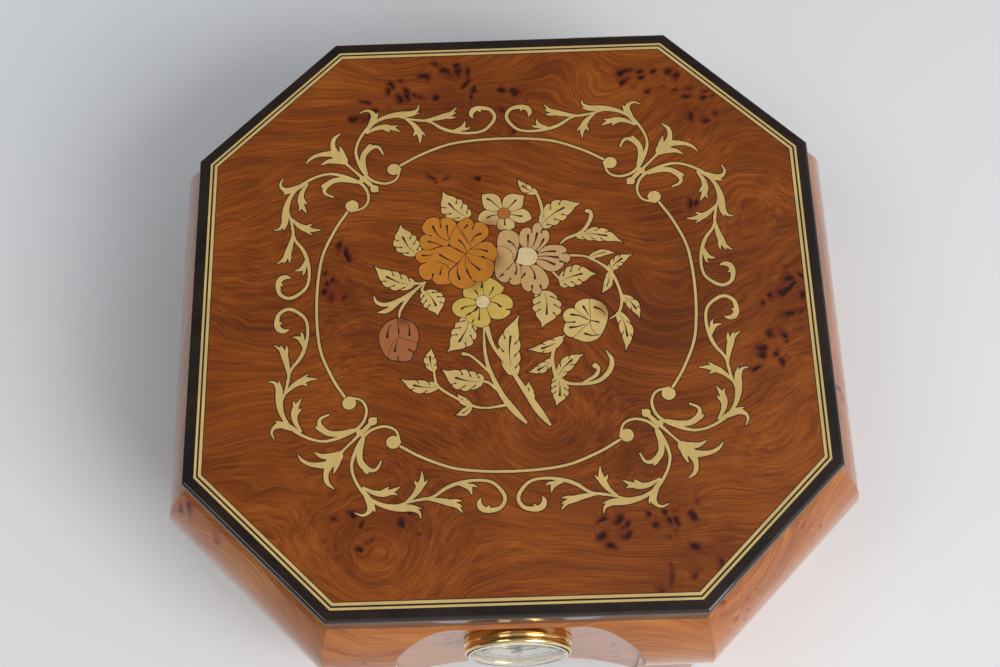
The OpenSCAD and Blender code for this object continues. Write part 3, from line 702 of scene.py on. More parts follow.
# Flower petals, the top one first: outline and slits. A corner is a point given twice, a slit is a stroke.
ROSE = [
    ([(-13.8, 20.3), (-11, 19.5), (-8, 18.4), (-4.9, 17), (-4.3, 15.4), (-4.6, 13), (-5.8, 10.8),
        (-7.8, 9.5), (-10, 9.2), (-11.6, 9.9), (-12.9, 11.4), (-13.9, 13.6), (-14.2, 16), (-14.2, 18.4)],
        [[(-13.7, 19.6, .2), (-12.7, 17.2, .35), (-9.3, 13.9, .8)], [(-13.9, 14, .8), (-13.1, 11.9, .5),
        (-12.2, 10.6, .3)]]),
    ([(-13.7, 20.6), (-12.1, 22.2), (-10.4, 23.4), (-8.3, 24.6), (-6.2, 24.8), (-4.6, 23.9), (-3.3, 21.8),
        (-3, 19.6), (-3.8, 17.9), (-4.6, 17), (-8, 18.2), (-11, 19.6)], [[(-6.5, 21, .85), (-9, 21.9, .4),
        (-12.2, 22, .2)], [(-8.3, 19, .8), (-6.2, 17.6, .35), (-4.4, 16.7, .2)]]),
    ([(-14.3, 20), (-15.5, 18.5), (-17, 16.3), (-18.9, 14.8), (-20.1, 12.6), (-19.8, 10), (-18.3, 8),
        (-15.8, 6.8), (-13.4, 7.2), (-11.7, 8.5), (-11.6, 9.6), (-13, 11.3), (-14, 14), (-14.3, 17)],
        [[(-16.5, 10.6, 1.0), (-17.2, 12.9, .5), (-17.1, 15.6, .2)]]),
    ([(-16.9, 31.8), (-15.4, 33.8), (-13.3, 34.5), (-11.7, 33.5), (-11, 32.1), (-11, 32.1), (-10, 32.7),
        (-7.9, 32.3), (-6.2, 30.4), (-5.9, 28.3), (-6.6, 26.7), (-7.9, 25.6), (-10, 23.8), (-12.2, 22.3),
        (-12.3, 23.5), (-13, 25.2), (-14.2, 27.5), (-15.3, 29.6), (-16.3, 30.8)],
        [[(-13.5, 31.6, .85), (-14.8, 30.0, .25)], [(-11, 32.3, .5), (-11.2, 31.2, .35), (-11.6, 30, .6)],
        [(-8.8, 28.1, .9), (-10.8, 27.1, .5), (-12.2, 24.8, .25)]]),
    ([(-17.1, 31.4), (-18.3, 29.8), (-19.3, 27.2), (-19.9, 25), (-19, 23.4), (-16.8, 22.3), (-14.8, 20.8),
        (-13.8, 20.5), (-12.5, 22.4), (-12.4, 23.6), (-13, 25.2), (-14.3, 27.6), (-15.6, 29.8),
        (-16.5, 30.9)], [[(-16.4, 25.8, .8), (-14.8, 23.8, .4), (-13.8, 21.2, .2)], [(-19.7, 23.6, .2),
        (-18.7, 22.9, .35), (-17.5, 21.6, .8)], [(-16.2, 30, .2), (-14.6, 27, .3), (-13.2, 24.4, .2)]]),
    ([(-19.9, 25), (-19.3, 27.1), (-18.3, 29.8), (-17.1, 31.6), (-17.9, 33.2), (-19.4, 34.5), (-21.3, 34.9),
        (-23.1, 34.2), (-23.1, 34.2), (-24.2, 35), (-26, 35.1), (-27.7, 34.4), (-28.9, 32.6), (-29.4, 31.2),
        (-28.8, 29.3), (-27.5, 28.3), (-26.4, 27.8), (-26.4, 27.8), (-27.9, 28.3), (-29.5, 27.9),
        (-30.2, 26.6), (-30.2, 24.8), (-29.5, 23.2), (-27.5, 22.3), (-25, 23.1), (-22.9, 23.8),
        (-20.8, 23.8)], [[(-25.6, 31.6, .85), (-24.4, 28.8, .45), (-22.5, 26.8, .3), (-20.4, 25.5, .2)],
        [(-20.6, 31.7, .8), (-20.5, 29.2, .4), (-20, 26, .2)], [(-23.1, 34.4, .4), (-23, 32.8, .35),
        (-22.8, 31.1, .6)], [(-27.3, 25.7, .8), (-25, 25, .4), (-22.5, 23.9, .2)],
        [(-26.2, 27.9, .6), (-27.2, 28.2, .3)]]),
    ([(-14.5, 20.1), (-16.5, 17.5), (-19, 15.2), (-20.3, 13.6), (-20.4, 11.2), (-19.6, 9.2), (-20.7, 8.7),
        (-22.5, 8.6), (-24.6, 9), (-25.7, 10.2), (-26, 11), (-26, 11), (-27.5, 10.5), (-29, 11),
        (-30.3, 12.5), (-30.7, 14.5), (-30.2, 16.2), (-28.9, 17), (-28.9, 17), (-30, 17.2), (-31.4, 18.6),
        (-31.7, 20.3), (-30.7, 21.6), (-28.8, 22.4), (-26.5, 22.2), (-24, 23), (-21.5, 23.6), (-19.5, 23.3),
        (-17.5, 22), (-15.5, 20.8)], [[(-29.3, 20.2, .8), (-27.5, 20.1, .4), (-25.8, 20.5, .2)],
        [(-23.2, 20.2, .8), (-21, 18.7, .5), (-17.5, 16.7, .25)], [(-25.7, 12.8, .7), (-26.1, 10.8, .3)],
        [(-24.2, 17.5, .3), (-21.4, 16.4, .3), (-20, 14.8, .2)], [(-23.2, 12.6, .7), (-22.8, 14.8, .3),
        (-22.2, 16.2, .2)], [(-28.2, 17.4, .5), (-29.6, 17.1, .3)]]),
]
PALE = [
    ([(-0.8, 37.9), (-1.2, 40.2), (-1.7, 42.4), (-3.4, 43.8), (-5.8, 44.1), (-7.9, 43.8), (-7.9, 43.8),
        (-7.9, 41), (-7.2, 38.4), (-5.6, 37.4), (-3.2, 36.8)], [[(-6, 42, .9), (-4.5, 41, .45),
        (-2, 38.2, .25)]]),
    ([(-0.6, 38), (-0.7, 40.2), (-0.1, 42.2), (1.4, 43.4), (3.4, 43.7), (7, 42.8), (7, 42.8), (6.7, 40.4),
        (6.2, 38.3), (4.6, 37.4), (2, 36.6)], [[(4, 41.1, .8), (2.7, 39.5, .4), (0.9, 37.7, .25)]]),
    ([(2, 36.6), (4.6, 37.6), (7, 37.3), (8.6, 36), (9.5, 33.5), (9.5, 33.5), (7.1, 32.1), (4.6, 32.1),
        (3, 32.9), (1.6, 34.3)], [[(6, 34.6, .8), (4, 34.9, .45), (1.8, 35.5, .25)], [(4.6, 37.4, .6),
        (5.6, 37.6, .3)]]),
    ([(-1.8, 33.9), (-2.8, 32.3), (-2.8, 30.5), (-1.8, 29.4), (0, 29.6), (1.8, 29.3), (3.2, 30.3),
        (3.4, 31.8), (2.6, 33.2), (1.4, 34)], [[(-0.1, 31.4, .7), (-0.2, 33.6, .3)]]),
    ([(-2.4, 36.5), (-5.6, 37.4), (-7.5, 37.1), (-9.1, 35.6), (-9.6, 33.7), (-9.6, 33.7), (-8.3, 32.4),
        (-6.6, 31.7), (-4.4, 31.5), (-2.8, 31.4), (-2.2, 33.6)], [[(-6.2, 34.4, .8), (-4.5, 35.2, .45),
        (-2.4, 35.5, .25)]]),
]
BEIGE = [
    ([(6.2, 22.2), (5, 24.3), (5, 27.3), (6.2, 29.4), (8.3, 29.9), (9.4, 28.8), (9.4, 28.8), (9.8, 30.4),
        (11, 31.6), (12.3, 31.4), (13.2, 29.8), (12.9, 28.4), (12.9, 28.4), (14.5, 28.7), (15.5, 27),
        (15.2, 24.8), (13.4, 22.4), (11.4, 20.6), (10, 21.2), (8, 22.2)], [[(8, 26.9, .9), (7.9, 24.5, .5),
        (7.8, 22.3, .25)], [(11.2, 27.5, .9), (10.5, 24.8, .5), (9.4, 22, .25)], [(13.4, 25, .9),
        (12.2, 22.8, .45), (10.7, 21, .25)], [(9.3, 28, .6), (9.5, 29.4, .3)], [(12.7, 27.7, .7),
        (13, 29, .3)]]),
    ([(11, 19), (12.2, 21.2), (13.8, 22.3), (17, 22.7), (20, 22.2), (21.3, 20.8), (20.9, 19.4),
        (20.9, 19.4), (22.4, 18.2), (22.3, 16.6), (21.2, 15.7), (20, 15.9), (20, 15.9), (20, 14.6),
        (18.4, 13.1), (16.2, 12.3), (14, 12.9), (12, 14.4), (10.6, 16)], [[(17.2, 20.2, .9),
        (14, 20.2, .45), (11.1, 19.5, .25)], [(18.2, 17.7, .9), (14.5, 18.4, .5), (11.2, 18.4, .25)],
        [(16.8, 15.1, 1.0), (13.8, 16.7, .5), (11, 17.3, .25)], [(18.9, 16.3, .8), (20.6, 15.7, .35)],
        [(19.9, 19.4, .6), (21.3, 19.4, .35)], [(13, 21.9, .8), (13.9, 22.7, .4)]]),
    ([(5.4, 14.9), (8, 14.9), (10.4, 15.1), (12.2, 13.8), (13.8, 11.6), (14.7, 9), (14.4, 7), (13.2, 5.6),
        (12, 5.7), (12, 5.7), (12, 4.7), (11, 3.9), (9.9, 3.7), (9, 4.4), (8.7, 5.4), (8.7, 5.4),
        (7.4, 4.9), (6, 5.8), (5.2, 7.5), (5, 9.4), (5.3, 11.6), (5.2, 13.4)], [[(9.9, 9.8, .9),
        (9.6, 12.2, .5), (8.2, 14.7, .25)], [(8.8, 7, .8), (8.6, 5.3, .3)], [(11.6, 7.1, .8),
        (12.1, 5.4, .3)], [(6.4, 11.9, .8), (5.4, 10.2, .4)]]),
    ([(-2, 28.2), (0, 29.2), (2.1, 29), (3.9, 27.8), (5, 25.8), (4.9, 24), (4.2, 21.8), (3.6, 19.4),
        (2.9, 17.3), (2.6, 19.2), (1.8, 21), (0.4, 22.3), (-1.4, 23), (-2.9, 23), (-2.8, 25.6)],
        [[(1, 24.8, .9), (2.6, 23.6, .45), (3.8, 21.4, .25)]]),
    ([(-2.9, 22.9), (-1.4, 22.9), (0.4, 22.2), (1.8, 20.9), (2.6, 19), (2.7, 16.8), (1.4, 15.2),
        (-0.2, 13.6), (-2, 12.4), (-3.9, 12.6), (-3.9, 15.8), (-3.3, 19.4)], []),
    ([(2.9, 16.6), (4.8, 14.9), (5.1, 12.8), (5.1, 10.6), (5, 8.8), (4.4, 8), (3, 7.6), (1.5, 8),
        (0.7, 9.3), (0.7, 9.3), (-0.6, 8.7), (-2.4, 9.4), (-3.6, 11), (-3.9, 12.6), (-2, 12.2), (0, 13.6),
        (1.6, 15.2)], [[(3.1, 11.8, .8), (3.6, 13.6, .45), (3.2, 16, .25)], [(-1.2, 11.8, .8),
        (-2.8, 10.8, .4)], [(1.4, 10.1, .6), (.6, 9.1, .3)], [(0.3, 13.9, .8), (1.7, 15.3, .35)]]),
]
YELLOW = [
    ([(-7.4, -0.9), (-6.8, -3), (-6, -5.2), (-6.5, -7), (-8.2, -8.1), (-10.3, -8.1), (-12, -7),
        (-12.2, -5.8), (-12.2, -5.8), (-12.8, -6.5), (-14.1, -5.5), (-14.5, -4), (-13.5, -2.8), (-11, -2),
        (-9.8, -0.8)], [[(-10, -5.3, .7), (-9.8, -3.4, .4), (-9.7, -1, .25)], [(-11.9, -5.3, .6),
        (-12.4, -6.4, .3)], [(-12.8, -2.6, .7), (-14, -3.6, .35)]]),
    ([(-6.2, 2), (-4.6, 3.2), (-3, 4.2), (-1.2, 4.1), (0.7, 3), (1.8, 1.2), (1.7, -0.8), (0.2, -1.7),
        (0.2, -1.7), (1, -2.7), (0, -4.1), (-2, -5.2), (-4.3, -5.3), (-6.1, -4.3), (-6.7, -3.1),
        (-6.7, -3.1), (-7.2, -0.6)], [[(-2.4, -0.5, .9), (-4, 0.8, .45), (-6.2, 1.7, .25)],
        [(-0.3, -1.6, .6), (1.2, -2, .35)], [(-6.8, -3, .6), (-5.8, -4.9, .3)]]),
    ([(-11, 1.8), (-12.6, 2.7), (-15, 3.1), (-17.2, 2.5), (-18.9, 0.8), (-19.1, -1.3), (-17.9, -3.2),
        (-15.4, -4.4), (-14.4, -4), (-12.6, -2.4), (-10.8, -0.4)], [[(-15.9, -0.9, .9), (-14.5, -0.2, .45),
        (-11, 0.4, .25)]]),
    ([(-8, 4.2), (-8.2, 7), (-8.2, 9.6), (-6, 10.5), (-4, 9.6), (-2.7, 8.4), (-1, 6.8), (-1, 6.8),
        (-1.6, 5.2), (-3, 3.9), (-5, 3), (-6.4, 2.6)], [[(-4.8, 6.8, .7), (-5.3, 5.4, .4),
        (-6.3, 3.8, .25)], [(-3.3, 3.6, .7), (-2.2, 4.4, .35)]]),
    ([(-10.6, 2.6), (-13, 3), (-15, 3.8), (-15.1, 6.4), (-13, 8), (-10, 9.8), (-8.6, 9.8), (-8.2, 7),
        (-8.2, 4.2)], [[(-11, 5.8, .7), (-10, 4, .25)], [(-8.9, 7, .7), (-8.6, 9, .4)]]),
]
CREAM_BUD = [
    ([(28.2, 1.2), (26.8, 1.3), (25, .8), (23.5, -.6), (23.3, -2.2), (24.2, -3.1), (26, -4.8), (28.2, -6.6),
        (28.3, -4), (28.3, -1.5)], [[(26.2, -1.5, .9), (27.1, -3.2, .45), (28, -5.2, .25)]]),
    ([(24.1, -3.2), (22.6, -2.1), (20.6, -2.4), (19.3, -3.9), (19.1, -5.6), (20, -7.3), (20, -7.3),
        (19.3, -8.7), (19, -10.4), (20, -12.2), (22, -12.9), (24, -11.2), (26, -9.2), (28.1, -7),
        (26, -4.9)], [[(21.9, -4.4, .9), (24.8, -5, .5), (27.4, -6.6, .25)], [(23, -7.3, .7),
        (21.4, -7.3, .4), (19.6, -7.3, .4)], [(21.3, -9.3, .9), (24.2, -9, .45), (26.5, -8.2, .25)]]),
    ([(28.5, 1.2), (30.6, .8), (32.6, -.3), (34, -2.1), (34.6, -4.6), (34, -7.6), (33, -10.2),
        (31.8, -12.2), (30, -11.8), (28.6, -9.4), (28.4, -7), (28.5, -4), (28.5, -1.5)],
        [[(30.2, -1.9, 1.0), (32.2, -2.9, .5), (33.8, -5, .25)], [(31.2, -7.6, .7), (28.6, -6.9, .3)]]),
    ([(28.2, -7.2), (26.2, -9.2), (24, -11.4), (22.2, -13), (24, -14), (26, -14.8), (28.4, -14.7),
        (30.4, -13.8), (31.9, -12.2), (30.4, -10.6)], [[(26.4, -11.8, .9), (28.4, -12.5, .5),
        (30.8, -12.5, .25)]]),
]
BROWN_BUD = [
    ([(-37.7, -4), (-35.4, -4.4), (-33.2, -5.6), (-31.6, -7.6), (-30.9, -10), (-31, -12.2), (-31.6, -13.2),
        (-33.5, -12.4), (-36, -11.6), (-37.6, -10.4), (-37.8, -7)], [[(-34, -10.3, .9), (-34, -8, .45),
        (-34.4, -6, .2)], [(-38, -7, .5), (-37.4, -9.6, .3)]]),
    ([(-37.9, -4), (-40.4, -4.6), (-42.8, -6.4), (-44.2, -8.8), (-44.5, -11.4), (-43.8, -14.4),
        (-42.7, -16.8), (-41.7, -18.3), (-41, -16), (-40, -13.4), (-37.8, -10.4), (-38, -7)],
        [[(-41.6, -10.8, .95), (-41.4, -8.5, .5), (-40.4, -6, .25)]]),
    ([(-37.6, -10.6), (-35.8, -11.8), (-33.4, -12.6), (-31.6, -13.4), (-31.7, -15.4), (-32.8, -16.8),
        (-32.8, -16.8), (-33.3, -19), (-35.2, -20), (-37.9, -19.7), (-37.9, -19.7), (-40, -19.4),
        (-41.4, -18.3), (-41, -16.2), (-39.8, -13.4)], [[(-39, -16.2, .9), (-38.8, -14.4, .45),
        (-38, -12.2, .2)], [(-34.2, -15.7, .7), (-32.6, -16.8, .35)], [(-37.9, -18.2, .5),
        (-37.9, -19.8, .4)]]),
]
BEIGE_CORE = [(4.6, 21.2), (6, 22.1), (8.2, 22), (10, 20.9), (11, 18.8), (10.6, 16.6), (8.9, 15.1),
    (6.6, 15), (3.3, 16.2), (3.3, 16.2), (4.2, 18.6)]


def petals(sheet, shapes):
    """Lays the petals in order, each one under those before it."""
    for outline, slits in shapes:
        sheet.outline(through(outline + outline[:1], 5, closed=True)[:-1])
        for points in slits:
            sheet.slit(points)
        sheet.claim()


# Leaves as base, tip, width, teeth
LEAVES = [
    ((-13.2, 34.6), (-22.2, 45.6), 8.2, 3), ((-31.5, 20.5), (-37.3, 32.8), 8.2, 3),
    ((-32.5, 8.6), (-46.5, 16.6), 6.6, 3), ((-28.5, 6.2), (-24, -3.4), 7.6, 3),
    ((-13.2, -4.6), (-21, -17.3), 8.4, 3), ((12.7, 30.8), (27.4, 39.4), 8.2, 3),
    ((11.6, 43.6), (4.7, 49.8), 3.4, 2), ((25.2, 26.4), (41.5, 22.9), 5.2, 3),
    ((29, 17.2), (38.6, 18.9), 2.6, 2), ((35.6, 11.6), (44.4, 18.2), 3.8, 3),
    ((35.9, 11.2), (32.8, 3.2), 3.0, 2), ((18.3, 8), (31.4, 11), 7.6, 3), ((12.8, 5), (11.7, -9.2), 9.6, 3),
    ((39.9, 2.2), (45.6, -6.8), 3.8, 2), ((38.3, -4), (40, -18.9), 4.4, 2),
    ((18.6, -13.2), (6.4, -17.2), 4.0, 2), ((14.6, -21.2), (6.2, -25.6), 3.4, 2),
    ((16.4, -27.4), (25.6, -19.2), 4.6, 2), ((16.3, -27.6), (15.4, -38.2), 5.8, 3),
    ((-25.9, -24), (-26.4, -15.4), 4.0, 2), ((-24.2, -29.8), (-37.2, -26.6), 4.6, 2),
    ((-13.4, -36.8), (-17.8, -32.4), 2.6, 2), ((-13.2, -37.2), (-18.6, -40.4), 2.6, 2),
    ((-9, -28.4), (-23.2, -23.6), 7.4, 3), ((1.2, -26.4), (3.8, -3.6), 7.4, 3),
    ((7.5, -35.2), (6.4, -28.8), 3.0, 2),
]
# Stems as strokes of (x, y, width)
STEMS = [
    [(-8.4, -8, .5), (-8.2, -17, 1.1), (-6.8, -24, 1.3), (-3, -33, 1.8), (1, -39, 2.2), (5, -43.6, 1.0)],
    [(-7.6, -7.5, 1.8), (-5.2, -15.5, 1.2), (0.4, -24, 1.3), (5, -32, 1.8), (9.5, -39.6, 2.4),
        (13, -44.6, 1.0)],
    [(-15.6, -17.9, 1.2), (-13, -18.8, .8), (-9, -22.6, .9), (-6.4, -25.6, .8)],
    [(-9.4, -28.2, .7), (-7, -29, .9), (-3.8, -32.2, .8)],
    [(-1.6, -37.2, 1.0), (-8, -38, .7), (-13, -37, .9), (-20, -33, .9), (-24.6, -29.2, .9),
        (-25.8, -23.6, .7)],
    [(15.6, 12.9, .8), (18.6, 9.2, .8)],
    [(22, 18.5, .9), (28, 17.8, .7), (33, 14.8, .9), (36, 12, 1.3), (38.4, 7, 1.0), (39.6, 1, 1.0),
        (38.4, -4, .8), (35, -6.6, .3)],
    [(19.3, 23.2, .5), (21.6, 25.2, 1.0), (25.6, 26.8, 1.0), (28.4, 29.2, 1.2), (30.4, 33, 1.4),
        (30.4, 35.4, 1.3), (29.2, 35.9, 1.5)],
    [(13.2, 33, .8), (13.2, 37.6, 1.1), (12.2, 42, 1.0), (11.2, 44.2, 1.0)],
    [(-28.4, 9.6, .5), (-31, 9.3, .8), (-34, 9.5, 1.3)],
    [(-28.6, 9.8, .5), (-33.5, 5, 1.1), (-37, -0.6, .9), (-37.6, -3.8, .4)],
    [(-28.6, 10, .3), (-33, 6, 1.1), (-38, 2.6, 1.8), (-42.6, 1.5, 1.4), (-45.4, 2.6, 1.1),
        (-46.3, 4.9, .3)],
    [(-38, 2.2, 1.4), (-41.6, -.7, 1.7), (-45, -1.4, .3)],
    [(-28.4, 9.6, .3), (-29.6, 7, .9), (-28.8, 5.8, .9)],
    [(19.2, -12.3, .4), (16.4, -15.2, .9), (14.8, -20, 1.2), (15.2, -25, 1.2), (16.4, -28, 1.5),
        (21, -30.2, 1.0), (29, -29.8, 1.3), (33.6, -26.4, 1.6), (35, -22, 1.5), (33.2, -18.3, .3)],
    [(24.6, -30, .6), (29, -27.6, 1.3), (30.3, -25, 1.1), (29.2, -23.8, 1.9)],
    [(33, 14.8, .5), (30.6, 16.4, .8), (29.2, 17, .8)],
    [(38.6, 5.5, .5), (39.6, 3, .9), (40.2, 1.6, .9)],
]


def bouquet_sheets():
    """The bouquet's colours, each a sheet in the same window, from the ones that lie on top."""
    first = Sheet(*WINDOW)
    sheets = {}

    def colour(name):
        sheets[name] = first if not sheets else Sheet(*WINDOW, taken=first.taken)
        return sheets[name]

    cores = colour("cream_cores")
    cores.outline(through(BEIGE_CORE + BEIGE_CORE[:1], 5, closed=True)[:-1])
    cores.disc(-8.5, 1.5, 2.4)
    cores.claim()
    core = colour("orange_core")
    core.disc(-0.3, 35.9, 2.2)
    core.claim()
    for name, shapes in (("orange", ROSE), ("yellow", YELLOW), ("beige", BEIGE), ("pale", PALE),
            ("brown_bud", BROWN_BUD), ("cream_bud", CREAM_BUD)):
        petals(colour(name), shapes)
    green = colour("leaves")
    for base, tip, width, teeth in LEAVES:
        green.leaf(base, tip, width, teeth)
    for points in STEMS:
        green.stroke(points)
    return sheets


CREAM = (0.73, 0.51, 0.18)
KERF_BROWN = (0.060, 0.017, 0.007)
FLOWER_COLOURS = {
    "cream_cores": ((0.82, 0.64, 0.34), None), "orange_core": ((0.50, 0.17, 0.03), None),
    "orange": ((0.62, 0.22, 0.022), (-2, 15, 0, 7, (0.40, 0.11, 0.012))),
    "beige": ((0.66, 0.39, 0.16), (-5.5, 18, 1, 7, (0.22, 0.075, 0.018))),
    "yellow": ((0.70, 0.48, 0.10), (-12, 10, 1, 6, (0.30, 0.14, 0.02))),
    "pale": ((0.74, 0.52, 0.20), (-6, 30, 1, 7, (0.34, 0.15, 0.04))),
    "brown_bud": ((0.46, 0.155, 0.055), (-36, -4, 1, 4, (0.16, 0.05, 0.02))),
    "cream_bud": ((0.76, 0.54, 0.19), (34, -2, 1, 6, (0.42, 0.20, 0.05))), "leaves": (CREAM, None),
}
# Top and thickness of the inlays and of the dark lines under them
INLAY_LAYER = (VENEER_Z + 0.042 * MM, 0.03 * MM)
KERF_LAYER = (VENEER_Z + 0.020 * MM, 0.018 * MM)


def make_marquetry():
    kerf = inlay_wood("kerf", KERF_BROWN, (0.3, 0.3, 0.3))
    kerf_round_lid(kerf)
    quarter = scrollwork()
    scrolls = lid_piece("scroll_inlay", quarter.faces("cut"), INLAY_LAYER, quarter_placings(),
        inlay_wood("scroll_maple", CREAM, (0.5, 0.06, 0.1)))
    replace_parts(scrolls, "inlay_ring")
    lid_piece("scroll_kerf", quarter.faces("solid"), KERF_LAYER, quarter_placings(), kerf)
    stay = [(lambda x, y: (x, y), False)]
    sheets = bouquet_sheets()
    made = []
    for seed, (name, sheet) in enumerate(sheets.items()):
        colour, scorch = FLOWER_COLOURS[name]
        wood = inlay_wood("wood_" + name, colour, (0.35, 0.5, 0.3), scorch, seed)
        made.append(lid_piece("inlay_" + name, sheet.faces("cut"), INLAY_LAYER, stay, wood))
    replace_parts(made[0], "inlay_bouquet")
    whole = Sheet(*WINDOW)
    for sheet in sheets.values():
        whole.solid = np.minimum(whole.solid, sheet.solid)
    lid_piece("bouquet_kerf", whole.faces("solid"), KERF_LAYER, stay, kerf)


# ---------- materials of the CAD nodes ----------

LID_STOPS = [(0.0, (0.115, 0.022, 0.003)), (0.40, (0.215, 0.047, 0.004)), (0.72, (0.290, 0.070, 0.006)),
    (1.0, (0.385, 0.101, 0.009))]
SIDE_STOPS = [(0.0, (0.22, 0.052, 0.008)), (0.4, (0.34, 0.098, 0.014)), (0.75, (0.42, 0.138, 0.021)),
    (1.0, (0.50, 0.185, 0.032))]
LID_EYES = [(-20, 90, 14), (-38, 87, 8), (-51, 79, 7), (-24, 54, 6), (-61, 9, 8), (-56, 23, 6),
    (-11, 47, 6), (48, 92, 7), (58, 90, 10), (71, 78, 10), (63, 35, 9), (96, 2, 12), (91, -12, 8),
    (87, -25, 10), (-54, -81, 10), (-37, -76, 10), (31, -82, 9), (52, -76, 11), (60, -92, 9), (48, -99, 7),
    (3, 84, 8), (2, 71, 4)]
LID_SWIRLS = [(12, -50, 46, 40), (-44, -92, 52, 26), (88, 40, 36, -16)]
SIDES = ("front_panel", "back_panel", "left_panel", "right_panel", "corner_front_left",
    "corner_front_right", "corner_back_left", "corner_back_right")
STRING_WOOD = (0.74, 0.53, 0.20)


def dress(material, *names):
    for name in names:
        mesh = nodes[name].data
        mesh.materials.clear()
        mesh.materials.append(material)


def smooth(*names):
    sharp_above = math.radians(32)
    for name in names:
        nodes[name].data.set_sharp_from_angle(angle=sharp_above)


def dress_nodes():
    dress(burl("lid_burl", LID_STOPS, (0.014, 0.13, 0.1), LID_EYES, LID_SWIRLS, seed=1.0), "lid_veneer")
    side = burl("side_burl", SIDE_STOPS, (0.016, 0.016, 0.10), everywhere=0.9, seed=2.0, swirl=16)
    dress(side, *SIDES)
    dress(plain_wood("ebony", (0.028, 0.015, 0.010), (0.012, 0.008, 0.006), (0.06, 0.06, 0.5),
        gloss=1.0, rough=0.3), "lid_edging", "lid_black_line")
    dress(inlay_wood("string_maple", STRING_WOOD, (0.05, 0.05, 0.3)), "lid_string_outer",
        "lid_string_inner")
    plain = plain_wood("poplar", (0.34, 0.19, 0.09), (0.20, 0.10, 0.045), (0.03, 0.4, 0.4))
    dress(plain, "bottom_board", "partition", "divider", "cover_cleats", "lid_board")
    dress(velvet("felt", (0.03, 0.03, 0.03)), "foot_pads")
    dress(velvet("wine_velvet", (0.20, 0.008, 0.02)), "floor_pads", "ring_roll", "lid_lining")
    dress(glass("clear_glass", (0.97, 0.99, 0.98)), "glass_cover", "clock_glass")
    gilt = metal("gilt", (0.86, 0.62, 0.26), 0.10)
    dress(gilt, "clock_case", "clock_bezel")
    dress(metal("hinge_brass", (0.80, 0.58, 0.25), 0.22, 0.2), "hinge_leaves_case", "hinge_leaves_lid",
        "hinge_pins", "hinge_screws_case", "hinge_screws_lid")
    dress(metal("movement_brass", (0.74, 0.54, 0.25), 0.28, 0.5), "bedplate", "bearing_left",
        "bearing_right", "comb_base", "music_cylinder", "great_wheel", "spring_barrel", "barrel_bridge",
        "winding_key", "governor_frame")
    dress(metal("steel", (0.62, 0.64, 0.67), 0.22, 0.3), "bedplate_screws", "comb", "comb_screws",
        "cylinder_pins", "cylinder_arbor", "winding_arbor", "ratchet_wheel", "click", "governor_wheel",
        "governor_fly", "stop_plunger")
    dress(plastic("dial_enamel", (0.86, 0.85, 0.80), 0.35), "clock_dial")
    dress(plastic("black_lacquer", (0.012, 0.012, 0.014), 0.2), "minute_hand", "hour_hand",
        "clock_movement")
    dress(plastic("white_nylon", (0.72, 0.70, 0.64), 0.5), "clock_set_knob", "clock_grip_ring")
    smooth(*SIDES, "lid_edging", "clock_case", "clock_bezel", "music_cylinder", "spring_barrel",
        "winding_key", "hinge_leaves_case", "hinge_leaves_lid", "ring_roll", "winding_arbor",
        "cylinder_arbor")


# ---------- details that the frame leaves plain ----------

def kerf_round_lid(material):
    """The dark glue line between the veneer and its inner string."""
    mesh = nodes["lid_veneer"].data
    corners = {(round(v.co.x, 5), round(v.co.y, 5)) for v in mesh.vertices if v.co.z > VENEER_Z - 0.00001}
    reach = max(math.hypot(*c) for c in corners)
    outermost = (c for c in corners if math.hypot(*c) > reach * 0.97)
    ring = sorted(outermost, key=lambda c: math.atan2(c[1], c[0]))
    n = len(ring)
    width, thick = 0.30 * MM, 0.02 * MM
    inside = 1 - width / (LID_W * 0.47)
    verts = [(x, y, VENEER_Z + 0.03 * MM) for x, y in ring]
    verts += [(x * inside, y * inside, VENEER_Z + 0.03 * MM) for x, y in ring]
    verts += [(x, y, z - thick) for x, y, z in verts]
    faces = []
    for k in range(n):
        j = (k + 1) % n
        faces.append((k, j, n + j, n + k))
        faces.append((2 * n + j, 2 * n + k, 3 * n + k, 3 * n + j))
        faces.append((j, k, 2 * n + k, 2 * n + j))
        faces.append((n + k, n + j, 3 * n + j, 3 * n + k))
    new_piece("lid_kerf", verts, faces, material, "lid")


CLOCK = Vector((0, -LID_W / 2, 51.4 * MM))


def on_clock(x, up, out):
    """A point of the clock from millimetres across its dial, up it, and out from its seat."""
    return (CLOCK.x + x * MM, CLOCK.y - out * MM, CLOCK.z + up * MM)


def turned(name, profile, material):
    """A closed profile of (radius, distance in front of the lid's edge), turned about the clock's axis."""
    steps = 128
    verts, faces, index = [], [], {}
    for k in range(steps):
        a = 2 * math.pi * k / steps
        for i, (r, out) in enumerate(profile):
            if r > 0 or k == 0:
                index[k, i] = len(verts)
                verts.append(on_clock(r * math.sin(a), r * math.cos(a), out))
            else:
                index[k, i] = index[0, i]
    for k in range(steps):
        m = (k + 1) % steps
        for i in range(len(profile)):
            j = (i + 1) % len(profile)
            corners = list(dict.fromkeys((index[k, i], index[k, j], index[m, j], index[m, i])))
            if len(corners) > 2:
                faces.append(corners)
    return new_piece(name, verts, faces, material, "clock", shaded=True)


